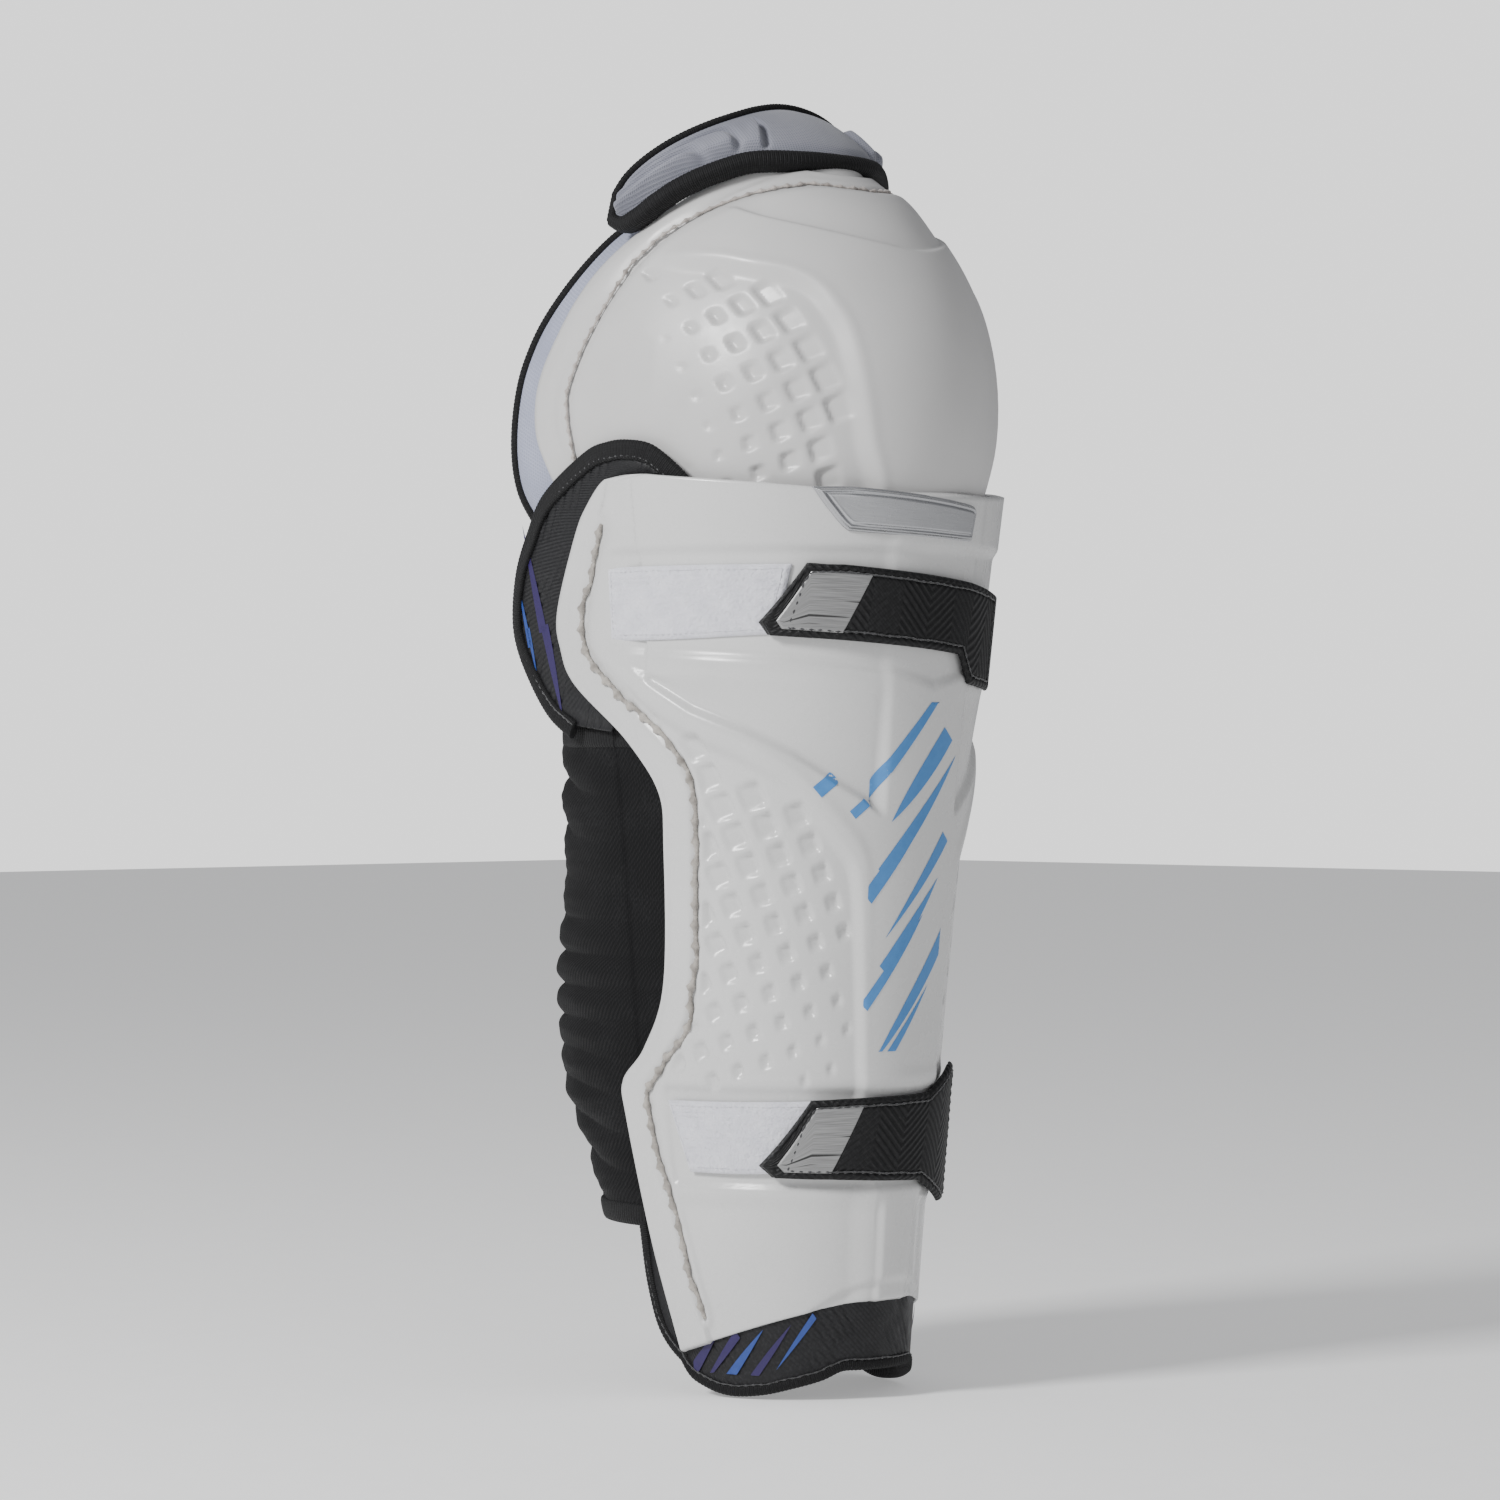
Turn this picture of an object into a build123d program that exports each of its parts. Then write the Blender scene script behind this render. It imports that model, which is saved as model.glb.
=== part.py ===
from build123d import *

# Ice hockey shin guard for the right leg: shell, knee cap, thigh pad, liners, calf wrap and straps.
#
# Frame: +Z up along the shin, -Y to the front, -X to the outer (lateral) side of the leg.
# Millimetres.  The origin is on the axis of the leg channel, level with the ankle.
# Every curved layer is a slice between two offsets of one of three plugs (shin, knee, thigh),
# trimmed by an outline drawn in the side view (y, z) or in the front view (x, z).
import os
from math import sqrt

# ---- driving dimensions: shin plug (half width and front depth grow with height) ----
SHIN_WIDTH_FOOT = 43.0
SHIN_WIDTH_RISE = 0.06
SHIN_WIDTH_FLARE = 0.00012
SHIN_DEPTH_FOOT = 58.0
SHIN_DEPTH_RISE = 0.07
SHIN_DEPTH_FLARE = 0.00008
SHIN_BACK = 150.0
SECTION_HEIGHTS = (-20.0, 80.0, 180.0, 280.0, 380.0)

# ---- knee plug: two half ellipsoids on one centre; the sides and front follow the shin plug ----
KNEE_FRONT_SET = 3.6
KNEE_BACK = 140.0
KNEE_HALF_HEIGHT = 95.0
KNEE_Y = 4.0
KNEE_Z = 338.0

# ---- thigh plug: one ellipsoid ----
THIGH_HALF_WIDTH = 56.0
THIGH_DEPTH = 58.0
THIGH_HALF_HEIGHT = 51.0
THIGH_Y = 13.0
THIGH_Z = 400.0

# ---- wall thicknesses and clearances ----
SHELL_WALL = 3.0
CAP_WALL = 3.0
LINER_FOAM = 5.0
WING_CLOTH = 2.2
KNEE_FOAM = 5.0
KNEE_WING_GAP = 1.4
KNEE_WING_CLOTH = 4.0
SHIN_PAD = 5.0
ANKLE_FOAM = 4.0
BINDING_WIDTH = 4.0
BINDING_DROP = 1.3
BINDING_PROUD = 0.5
PATCH_PILE = 0.8
MOVING_GAP = 0.35
HINGE_GAP = 0.7
LINER_INSET = 2.0
HOOK_PILE = 0.8
STRAP_WALL = 1.8
WRAP_CLOTH = 2.6
PLATE_WALL = 1.4
THIGH_COVER = 2.0
THIGH_PLATE = 1.2
THIGH_FOAM = 5.0

# ---- calf wrap ----
WRAP_STRAIGHT = 20.0
WRAP_SEAM_Y = 56.0
WRAP_ANCHOR_Y = -15.0
WRAP_FRONT_Y = 0.0
WRAP_BOTTOM = 64.0
WRAP_TOP = 224.0
WRAP_BACK_DEPTHS = ((40.0, 40.0), (64.0, 47.0), (85.0, 56.0), (106.0, 69.0), (140.0, 71.0),
                    (180.0, 64.0), (210.0, 61.0), (240.0, 57.0))

# ---- straps ----
STRAP_PIVOT_Y = -30.0
ELASTIC_START_X = 24.0

# ---- inner pads ----
PAD_HALF_WIDTH = 15.0
PAD_SPACE = 3.0
PAD_BOTTOM = 70.0
PAD_TOP = 250.0
SKIRT_STEP = 4.0
CUP_PAD_RADIUS = 34.0
CUP_PAD_HOLE = 16.0
CUP_PAD_WALL = 5.0
PAD_BACK_Y = -19.3

# ---- outlines in the side view, (y, z) ----
REACH = 130.0
WHOLE = 8 * REACH
CORNER_RUN = 5
SHELL_TOP = ((-REACH, 304.0), (-54.0, 313.2), (-13.0, 317.0))
SHELL_BACK = ((5.0, 316.0), (22.0, 298.0), (36.0, 272.0), (36.0, 259.0), (30.0, 247.0), (5.5, 228.0),
              (-8.0, 210.0), (-8.5, 190.0), (-4.0, 145.0), (7.5, 123.0), (19.5, 111.0), (19.0, 98.0),
              (9.5, 56.0), (-2.0, 20.0))
SHELL_FOOT = ((-16.5, 24.5), (-51.0, 36.2), (-62.0, 40.0), (-REACH, 40.0))
WING_EDGE = ((-24.0, 318.7), (-15.0, 326.3), (5.0, 328.0), (17.0, 325.0), (42.0, 312.0), (54.0, 299.5),
             (63.5, 286.7), (68.5, 272.0), (67.5, 261.0), (60.0, 248.0), (51.0, 238.0), (40.0, 231.0))
WING_ROOT = ((22.0, 230.0), (-30.0, 250.0), (-34.0, 300.0))
CAP_RIM = ((-34.0, 424.2), (-25.5, 425.6), (-11.5, 419.0), (6.5, 405.3), (26.0, 388.0), (41.0, 365.0),
           (49.0, 343.0), (48.0, 332.0), (42.5, 323.5), (39.0, 317.0))
CAP_SKIRT = ((28.0, 302.0), (0.0, 290.0), (-30.0, 284.0), (-REACH, 284.0), (-REACH, 424.2))
KNEE_WING_EDGE = ((22.5, 410.3), (36.0, 401.0), (55.5, 377.6), (68.5, 350.0), (71.5, 330.0), (70.5, 315.5),
                  (64.5, 305.0), (58.5, 298.0))
KNEE_WING_ROOT = ((34.0, 296.0), (20.0, 340.0), (2.0, 396.0))
KNEE_CUP_RIM = ((-30.0, 419.0), (-12.0, 413.0), (2.0, 402.0), (22.0, 380.0), (34.0, 350.0), (37.0, 318.0),
                (28.0, 300.0))
THIGH_LOW_EDGE = ((-REACH, 425.5), (-24.0, 427.2), (-7.0, 419.0), (8.0, 408.5), (16.0, 405.5))
THIGH_END = ((23.0, 409.5), (20.0, 421.0))
THIGH_TOP_EDGE = ((-2.0, 438.6), (-9.0, 448.0), (-9.0, 470.0), (-REACH, 470.0))
HEM_EDGE = ((18.0, 64.0), (15.0, 38.6), (8.5, 22.0), (-2.8, 11.0), (-20.0, 5.0), (-42.0, 8.8), (-54.0, 14.5))
LINER_FOOT = 64.0
HEM_FRONT = ((-REACH, 14.5),)
ANKLE_TOP = ((-REACH, LINER_FOOT), (-90.0, LINER_FOOT))
LINER_FRONT_TOP = 272.0

# ---- outlines in the front view, (x, z) ----
NAMEPLATE = ((-45.5, 310.0), (-38.0, 297.5), (8.5, 295.0), (11.5, 305.5))
UPPER_STRAP = ((-55.0, 267.0), (-53.0, 262.8), (8.0, 257.0), (14.0, 247.0), (32.0, 245.0), (32.0, 277.0),
               (12.0, 280.5), (-46.8, 286.6))
UPPER_TIP = ((-60.0, 290.0), (-27.0, 290.0), (-38.0, 258.0), (-60.0, 258.0))
LOWER_STRAP = ((-41.5, 84.5), (-39.0, 80.6), (5.0, 79.0), (24.0, 70.0), (33.0, 69.5), (33.0, 117.0),
               (25.0, 116.5), (8.0, 108.0), (-32.5, 106.8))
LOWER_TIP = ((-50.0, 110.0), (-17.0, 110.0), (-28.0, 78.0), (-50.0, 78.0))
UPPER_BAND = (250.0, 273.0)
LOWER_BAND = (80.0, 105.0)
YOKE_OVERLAP = 32.0
UPPER_YOKE = ((WRAP_FRONT_Y, WRAP_TOP - YOKE_OVERLAP), (WRAP_FRONT_Y, WRAP_TOP),
              (-14.0, 262.0), (STRAP_PIVOT_Y, UPPER_BAND[1]), (STRAP_PIVOT_Y, UPPER_BAND[0]))
HOOK_PAD_END_X = -12.0
UPPER_PATCH = ((9.0, 261.0), (7.5, 286.5), (-62.0, 286.5), (-56.0, 263.0))
LOWER_PATCH = ((-2.0, 105.5), (-10.0, 81.0), (-48.0, 82.0), (-54.0, 106.5))


def half_width(z, offset=0.0):
    """Half width of the shin plug at a height."""
    return SHIN_WIDTH_FOOT + SHIN_WIDTH_RISE * z + SHIN_WIDTH_FLARE * z * z + offset


def front_depth(z, offset=0.0):
    """Depth of the shin plug in front of the leg's axis at a height."""
    return SHIN_DEPTH_FOOT + SHIN_DEPTH_RISE * z + SHIN_DEPTH_FLARE * z * z + offset


def oval(z, width, front, back):
    """Closed section made of a front and a back half ellipse that share one width."""
    front_arc = EllipticalCenterArc((0, 0), width, front, start_angle=180, arc_size=180)
    back_arc = EllipticalCenterArc((0, 0), width, back, start_angle=0, arc_size=180)
    return Plane.XY.offset(z) * make_face(front_arc + back_arc)


def shin_plug(offset):
    """Solid inside the shin surface, moved outwards by the offset."""
    sections = []
    for z in SECTION_HEIGHTS:
        sections.append(oval(z, half_width(z, offset), front_depth(z, offset), SHIN_BACK + offset))
    return loft(sections)


def half_ellipsoid(width, depth, height, side):
    """Half of an ellipsoid about the origin, on the +Y (side = 1) or -Y (side = -1) side."""
    ball = Solid.make_sphere(1.0)
    whole = scale(ball, by=(width, depth, height))
    reach = 2 * max(width, depth, height)
    keep = Pos(0, side * reach / 2, 0) * Box(2 * reach, reach, 2 * reach)
    return whole & keep


def knee_plug(offset):
    """Solid inside the knee surface, moved outwards by the offset; it fits inside the shell and liner."""
    width = half_width(KNEE_Z, offset) - SHELL_WALL - LINER_FOAM
    height = KNEE_HALF_HEIGHT + offset
    front_reach = front_depth(KNEE_Z, offset) + KNEE_Y - KNEE_FRONT_SET
    front = half_ellipsoid(width, front_reach, height, -1)
    back = half_ellipsoid(width, KNEE_BACK + offset, height, 1)
    return Pos(0, KNEE_Y, KNEE_Z) * (front + back)


def thigh_plug(offset):
    """Solid inside the thigh surface, moved outwards by the offset."""
    ball = Solid.make_sphere(1.0)
    size = (THIGH_HALF_WIDTH + offset, THIGH_DEPTH + offset, THIGH_HALF_HEIGHT + offset)
    return Pos(0, THIGH_Y, THIGH_Z) * scale(ball, by=size)


def side_prism(*runs, side=0):
    """Prism across the leg from side-view runs; a run longer than CORNER_RUN is a smooth curve."""
    edges = []
    last = runs[-1][-1]
    for run in runs:
        edges.append(Line(last, run[0]))
        if len(run) > CORNER_RUN:
            edges.append(Spline(*run))
        elif len(run) > 1:
            edges.append(Polyline(*run))
        last = run[-1]
    face = Plane.YZ * make_face(edges)
    if side:
        return extrude(face, amount=side * REACH)
    return extrude(face, amount=REACH, both=True)


def front_prism(points):
    """Prism running forwards from the leg's axis, from a front-view outline."""
    face = Plane.XZ * make_face(Polyline(*points, close=True))
    return extrude(face, amount=REACH)


def slab(low, high):
    """Box between two heights that spans the whole guard."""
    return Pos(0, 0, (low + high) / 2) * Box(WHOLE, WHOLE, high - low)


def beyond_y(y):
    """Box holding everything behind a y value."""
    return Pos(0, y + WHOLE / 2, 0) * Box(WHOLE, WHOLE, WHOLE)


def beyond_x(x):
    """Box holding everything on the inner (+X) side of an x value."""
    return Pos(x + WHOLE / 2, 0, 0) * Box(WHOLE, WHOLE, WHOLE)


def moved(points, dy, dz):
    """Outline points moved by a step in the side view."""
    return tuple((y + dy, z + dz) for y, z in points)


def shin_layer(outer, inner):
    """Skin of the shin plug between two offsets."""
    return shin_plug(outer) - shin_plug(inner)


def knee_layer(outer, inner):
    """Skin of the knee plug between two offsets."""
    return knee_plug(outer) - knee_plug(inner)


def thigh_layer(outer, inner):
    """Skin of the thigh plug between two offsets."""
    return thigh_plug(outer) - thigh_plug(inner)


os.makedirs("parts", exist_ok=True)


def save(name, shape):
    """Write one node."""
    export_step(shape, f"parts/{name}.step")


# ---- shin shell and what is fixed on it ----
shell_outline = side_prism(SHELL_TOP, SHELL_BACK, SHELL_FOOT)
save("shin_shell", shin_layer(0, -SHELL_WALL) & shell_outline)
save("nameplate", shin_layer(PLATE_WALL, 0) & front_prism(NAMEPLATE))
patch_skin = shin_layer(PATCH_PILE, 0)
save("upper_loop_patch", patch_skin & side_prism(UPPER_PATCH, side=-1))
save("lower_loop_patch", patch_skin & side_prism(LOWER_PATCH, side=-1))

# ---- shin liner: foam back, two wings and the ankle panel with its bound hem ----
liner_inner = -SHELL_WALL - LINER_FOAM
liner_runs = [moved(run, -LINER_INSET, -LINER_INSET) for run in (SHELL_TOP, SHELL_BACK, SHELL_FOOT)]
liner_outline = side_prism(*liner_runs)
wing_outline = side_prism(WING_EDGE, WING_ROOT)
wing_core = side_prism(moved(WING_EDGE, -BINDING_WIDTH, 0), WING_ROOT)
liner_skin = shin_layer(-SHELL_WALL, liner_inner)
save("shin_liner", (liner_skin & liner_outline & slab(LINER_FOOT, LINER_FRONT_TOP)) - wing_outline)
wing_skin = shin_layer(-SHELL_WALL, -SHELL_WALL - WING_CLOTH)
wing = wing_skin & wing_outline
wing_cloth = wing & wing_core
wing_binding = wing - wing_core
save("liner_wing_lateral", wing_cloth - beyond_x(0))
save("liner_wing_medial", wing_cloth & beyond_x(0))
save("wing_binding_lateral", wing_binding - beyond_x(0))
save("wing_binding_medial", wing_binding & beyond_x(0))
ankle_outline = side_prism(ANKLE_TOP, HEM_EDGE, HEM_FRONT)
hem_inside = moved(HEM_EDGE, -BINDING_WIDTH / 2, BINDING_WIDTH)
ankle_core = side_prism(ANKLE_TOP, hem_inside, moved(HEM_FRONT, 0, BINDING_WIDTH))
ankle_skin = shin_layer(-SHELL_WALL, -SHELL_WALL - ANKLE_FOAM)
ankle = ankle_skin & ankle_outline
save("ankle_panel", ankle & ankle_core)
save("ankle_binding", ankle - ankle_core)

# ---- removable pads inside the shin liner ----
pad_skin = shin_layer(liner_inner, liner_inner - SHIN_PAD) & slab(PAD_BOTTOM, PAD_TOP)
middle = Box(2 * PAD_HALF_WIDTH, WHOLE, WHOLE)
side_gap = Box(2 * (PAD_HALF_WIDTH + PAD_SPACE), WHOLE, WHOLE)
front_only = pad_skin - beyond_y(PAD_BACK_Y)
save("shin_pad_center", front_only & middle)
save("shin_pad_lateral", (front_only - side_gap) - beyond_x(0))
save("shin_pad_medial", (front_only - side_gap) & beyond_x(0))

# ---- knee cap, cup liner, side wings and ring pad ----
cap_outline = side_prism(CAP_RIM, CAP_SKIRT)
save("knee_cap_shell", knee_layer(0, -CAP_WALL) & cap_outline)
cup_skirt = moved(CAP_SKIRT, 0, -SKIRT_STEP)
cup_outline = side_prism(KNEE_CUP_RIM, cup_skirt[1:])
cup_inner = -CAP_WALL - KNEE_FOAM
save("knee_cup_liner", knee_layer(-CAP_WALL, cup_inner) & cup_outline)
knee_wing_outer = -CAP_WALL - KNEE_WING_GAP
knee_wing_skin = knee_layer(knee_wing_outer, knee_wing_outer - KNEE_WING_CLOTH)
knee_wing_outline = side_prism(KNEE_WING_EDGE, KNEE_WING_ROOT)
knee_wing_core = side_prism(moved(KNEE_WING_EDGE, -BINDING_WIDTH, -BINDING_DROP), KNEE_WING_ROOT)
knee_wing = (knee_wing_skin & knee_wing_outline) - cup_outline
knee_wing_cloth = knee_wing & knee_wing_core
knee_wing_binding = knee_wing - knee_wing_core
save("knee_wing_lateral", knee_wing_cloth - beyond_x(0))
save("knee_wing_medial", knee_wing_cloth & beyond_x(0))
save("knee_binding_lateral", knee_wing_binding - beyond_x(0))
save("knee_binding_medial", knee_wing_binding & beyond_x(0))
ring_tool = Cylinder(CUP_PAD_RADIUS, REACH) - Cylinder(CUP_PAD_HOLE, REACH)
ring_reach = Pos(0, -REACH / 2, KNEE_Z) * Rot(90, 0, 0) * ring_tool
save("knee_ring_pad", knee_layer(cup_inner, cup_inner - CUP_PAD_WALL) & ring_reach)

# ---- thigh pad ----
thigh_outline = side_prism(THIGH_LOW_EDGE, THIGH_END, THIGH_TOP_EDGE)
low_inside = moved(THIGH_LOW_EDGE, 0, BINDING_WIDTH)
end_inside = moved(THIGH_END, -BINDING_WIDTH, 0)
thigh_core = side_prism(low_inside, end_inside, THIGH_TOP_EDGE)
save("thigh_cover", thigh_layer(0, -THIGH_COVER) & thigh_outline & thigh_core)
plate_inner = -THIGH_COVER - THIGH_PLATE
save("thigh_plate", thigh_layer(-THIGH_COVER, plate_inner) & thigh_outline & thigh_core)
foam_inner = plate_inner - THIGH_FOAM
save("thigh_foam", thigh_layer(plate_inner, foam_inner) & thigh_outline & thigh_core)
save("thigh_binding", (thigh_layer(BINDING_PROUD, foam_inner) & thigh_outline) - thigh_core)

# ---- calf wrap: fixed anchor panel, and the moving panel behind and inside the calf ----
medial_out = PATCH_PILE + WRAP_CLOTH


def wrap_section(z, depth, inset):
    """D-shaped section: narrow on the outer side (under the shell), wide on the inner side (over it)."""
    left = half_width(z, liner_inner) - inset
    width_share = sqrt(1 - (WRAP_STRAIGHT / SHIN_BACK) ** 2)
    right = half_width(z, medial_out) * width_share - inset
    back = depth - inset
    left_arc = EllipticalCenterArc((0, WRAP_STRAIGHT), left, back, start_angle=90, arc_size=90)
    right_arc = EllipticalCenterArc((0, WRAP_STRAIGHT), right, back, start_angle=0, arc_size=90)
    closing = Line((-left, WRAP_STRAIGHT), (right, WRAP_STRAIGHT))
    return Plane.XY.offset(z) * make_face(left_arc + right_arc + closing)


def wrap_plug(inset):
    """Solid inside the wrap's back."""
    return loft([wrap_section(z, depth, inset) for z, depth in WRAP_BACK_DEPTHS])


def lateral_before(y):
    """Box holding the outer (-X) side in front of a y value."""
    return Pos(-WHOLE / 2, y - WHOLE / 2, 0) * Box(WHOLE, WHOLE, WHOLE)


wrap_slab = slab(WRAP_BOTTOM, WRAP_TOP)
back_skin = (wrap_plug(0) - wrap_plug(WRAP_CLOTH)) & wrap_slab & beyond_y(WRAP_STRAIGHT)
fixed_back = back_skin & lateral_before(WRAP_SEAM_Y - MOVING_GAP)
anchor_skin = shin_layer(liner_inner, liner_inner - WRAP_CLOTH) & wrap_slab & beyond_y(WRAP_ANCHOR_Y)
save("wrap_anchor", (anchor_skin & lateral_before(WRAP_STRAIGHT)) + fixed_back)
ear_skin = shin_layer(medial_out, PATCH_PILE) & wrap_slab & beyond_x(0) & beyond_y(WRAP_FRONT_Y)
ear = ear_skin - beyond_y(WRAP_STRAIGHT)
save("calf_wrap", (back_skin - lateral_before(WRAP_SEAM_Y)) + ear)

# ---- straps: tab, tip and hook pad over the front, elastic round the inner side ----
pile_base = PATCH_PILE + MOVING_GAP
hook_out = pile_base + HOOK_PILE
hook_skin = shin_layer(hook_out, pile_base)
strap_skin = shin_layer(hook_out + STRAP_WALL, hook_out)
elastic_skin = shin_layer(hook_out, MOVING_GAP) & beyond_x(ELASTIC_START_X)
yoke_skin = shin_layer(medial_out, PATCH_PILE) & beyond_x(0)
front_of_pivot = beyond_x(0) - beyond_y(STRAP_PIVOT_Y - HINGE_GAP)


def strap(name, outline, tip, band):
    """Tab, tip, hook pad and elastic of one strap."""
    tab = strap_skin & front_prism(outline)
    save(f"{name}_strap_tip", tab & front_prism(tip))
    save(f"{name}_strap_tab", tab - front_prism(tip))
    save(f"{name}_hook_pad", (hook_skin & front_prism(outline)) - beyond_x(HOOK_PAD_END_X))
    save(f"{name}_strap_elastic", elastic_skin & slab(*band) & front_of_pivot)


strap("upper", UPPER_STRAP, UPPER_TIP, UPPER_BAND)
strap("lower", LOWER_STRAP, LOWER_TIP, LOWER_BAND)
save("upper_yoke", yoke_skin & side_prism(UPPER_YOKE))
lower_reach = beyond_y(STRAP_PIVOT_Y) - beyond_y(WRAP_FRONT_Y)
save("lower_yoke", yoke_skin & slab(*LOWER_BAND) & lower_reach)
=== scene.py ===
import math

import bpy
import numpy as np
from mathutils import Matrix, Vector


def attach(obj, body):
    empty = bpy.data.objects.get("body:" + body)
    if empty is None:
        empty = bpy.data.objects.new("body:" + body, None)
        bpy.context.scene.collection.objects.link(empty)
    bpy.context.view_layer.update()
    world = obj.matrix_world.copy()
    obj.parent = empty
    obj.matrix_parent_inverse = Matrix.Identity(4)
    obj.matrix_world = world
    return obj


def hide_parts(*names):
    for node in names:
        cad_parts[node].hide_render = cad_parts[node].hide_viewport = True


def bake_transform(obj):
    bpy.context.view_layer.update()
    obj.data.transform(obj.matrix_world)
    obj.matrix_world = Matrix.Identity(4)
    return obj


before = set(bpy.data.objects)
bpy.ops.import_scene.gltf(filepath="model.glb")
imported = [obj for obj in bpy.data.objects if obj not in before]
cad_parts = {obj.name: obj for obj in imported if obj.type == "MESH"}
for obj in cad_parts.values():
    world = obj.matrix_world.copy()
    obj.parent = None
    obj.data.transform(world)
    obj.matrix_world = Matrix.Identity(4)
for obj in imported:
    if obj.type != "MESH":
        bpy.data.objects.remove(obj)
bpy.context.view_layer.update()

# ======================================================================================
# Shin shell.  One pressed sheet of white polyethylene wrapped round the front of the shin.
# A flat sewing flange runs down both long edges; the ridge, spine, strap channels and
# dimples are pressed into the sheet, so that the wall keeps one thickness.
# ======================================================================================
MM = 0.001
DEGREES = math.pi / 180
WAVE_PERIOD = 0.314
SHIN_BACK = 150.0
SHELL_WALL = 3.0
SHELL_FOOT = 20.0
SHELL_HEAD = 317.0
FLAT_PER_DEGREE = 1.2
DIMPLE_PER_DEGREE = 1.25
DIMPLE_START = (63.2, 205.3)
SHELL_EDGE = ((-13.0, 317.0), (-3.0, 316.9), (5.0, 315.5), (14.0, 308.0), (22.0, 298.0), (36.0, 272.0),
              (36.0, 259.0), (30.0, 247.0), (5.5, 228.0), (-8.0, 210.0), (-8.5, 190.0), (-4.0, 145.0),
              (7.5, 123.0), (19.5, 111.0), (19.0, 98.0), (9.5, 56.0), (-2.0, 20.0))
SEAM = ((91.4, 301), (94.3, 285), (96.7, 271), (97, 260), (94, 250), (88.4, 239), (79.5, 229), (72.5, 217),
        (71, 203), (72.3, 170), (73.8, 148), (77.5, 131), (86.3, 119), (90.6, 109), (91, 102), (89, 80),
        (83, 54.5), (76, 31))
RIDGE = ((101, 262), (93.7, 258.5), (82, 245), (68, 234), (55.6, 227), (43.5, 218.5), (35, 209), (27.5, 199),
         (21, 189), (18.5, 177.5), (17, 157), (15, 123.5), (14, 106))
PANEL_STEP = ((16, 22, 31, 43, 56, 70, 84, 95), (203, 208, 214, 223, 231, 238, 249, 260))


def smooth(x, low, high):
    """Soft step: 0 below low, 1 above high, and 3s^2 - 2s^3 between them."""
    s = np.clip((x - low) / (high - low), 0.0, 1.0)
    return s * s * (3.0 - 2.0 * s)


def bell(x, middle, width):
    """Soft bump: exp of minus the squared distance from the middle in widths."""
    return np.exp(-((x - middle) / width) ** 2)


def curve(points, count):
    """Smooth line through points: a Catmull-Rom cubic between each pair, then spaced evenly by length."""
    p = np.asarray(points, float)
    p = np.vstack([2 * p[0] - p[1], p, 2 * p[-1] - p[-2]])
    u = np.linspace(0, len(p) - 3 - 1e-9, 8 * count)
    i = u.astype(int)
    f = (u - i)[:, None]
    a, b, c, d = p[i], p[i + 1], p[i + 2], p[i + 3]
    line = 0.5 * (2 * b + (c - a) * f + (2 * a - 5 * b + 4 * c - d) * f**2 + (3 * b - a - 3 * c + d) * f**3)
    return even(line, count)


def run_of(line):
    """Distance along a line from its first point to each of its points."""
    return np.concatenate([[0.0], np.cumsum(np.linalg.norm(np.diff(line, axis=0), axis=1))])


def even(line, count):
    """The same line with its points moved to equal steps of length."""
    run = run_of(line)
    at = np.linspace(0, run[-1], count)
    return np.stack([np.interp(at, run, line[:, k]) for k in range(line.shape[1])], axis=1)


def beside(x, y, line):
    """Signed distance of flat points from a line: the least distance to any of its segments, positive on
    the left of the line's direction."""
    best = np.full(np.shape(x), 1e9)
    side = np.ones(np.shape(x))
    for (x0, y0), (x1, y1) in zip(line[:-1], line[1:]):
        dx, dy = x1 - x0, y1 - y0
        f = np.clip(((x - x0) * dx + (y - y0) * dy) / (dx * dx + dy * dy), 0, 1)
        d = np.hypot(x - x0 - f * dx, y - y0 - f * dy)
        nearer = d < best
        side = np.where(nearer, np.sign(dx * (y - y0) - dy * (x - x0)), side)
        best = np.where(nearer, d, best)
    return best * side


def shin_half(z):
    """Half width of the shin surface at a height: 43 + 0.06 z + 0.00012 z^2."""
    return 43.0 + 0.06 * z + 0.00012 * z * z


def shin_front(z):
    """Depth of the shin surface in front at a height: 58 + 0.07 z + 0.00008 z^2."""
    return 58.0 + 0.07 * z + 0.00008 * z * z


def shin_point(t, z, h):
    """Point of the shin surface: x = (a + h) sin t, y = -(d + h) cos t, where a is the half width and d the
    depth, which is 150 behind.  Millimetres in, metres out."""
    a = shin_half(z)
    d = np.where(np.cos(t) > 0, shin_front(z), SHIN_BACK)
    return np.stack([(a + h) * np.sin(t), -(d + h) * np.cos(t), z + 0 * t + 0 * h], axis=-1) * MM


def shin_turn(y, z, h=0.0):
    """Angle t where the shin surface at offset h has this y: the arc cosine of -y / (d + h)."""
    d = np.where(y < 0, shin_front(z), SHIN_BACK) + h
    return np.arccos(np.clip(-y / d, -1, 1))


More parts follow.
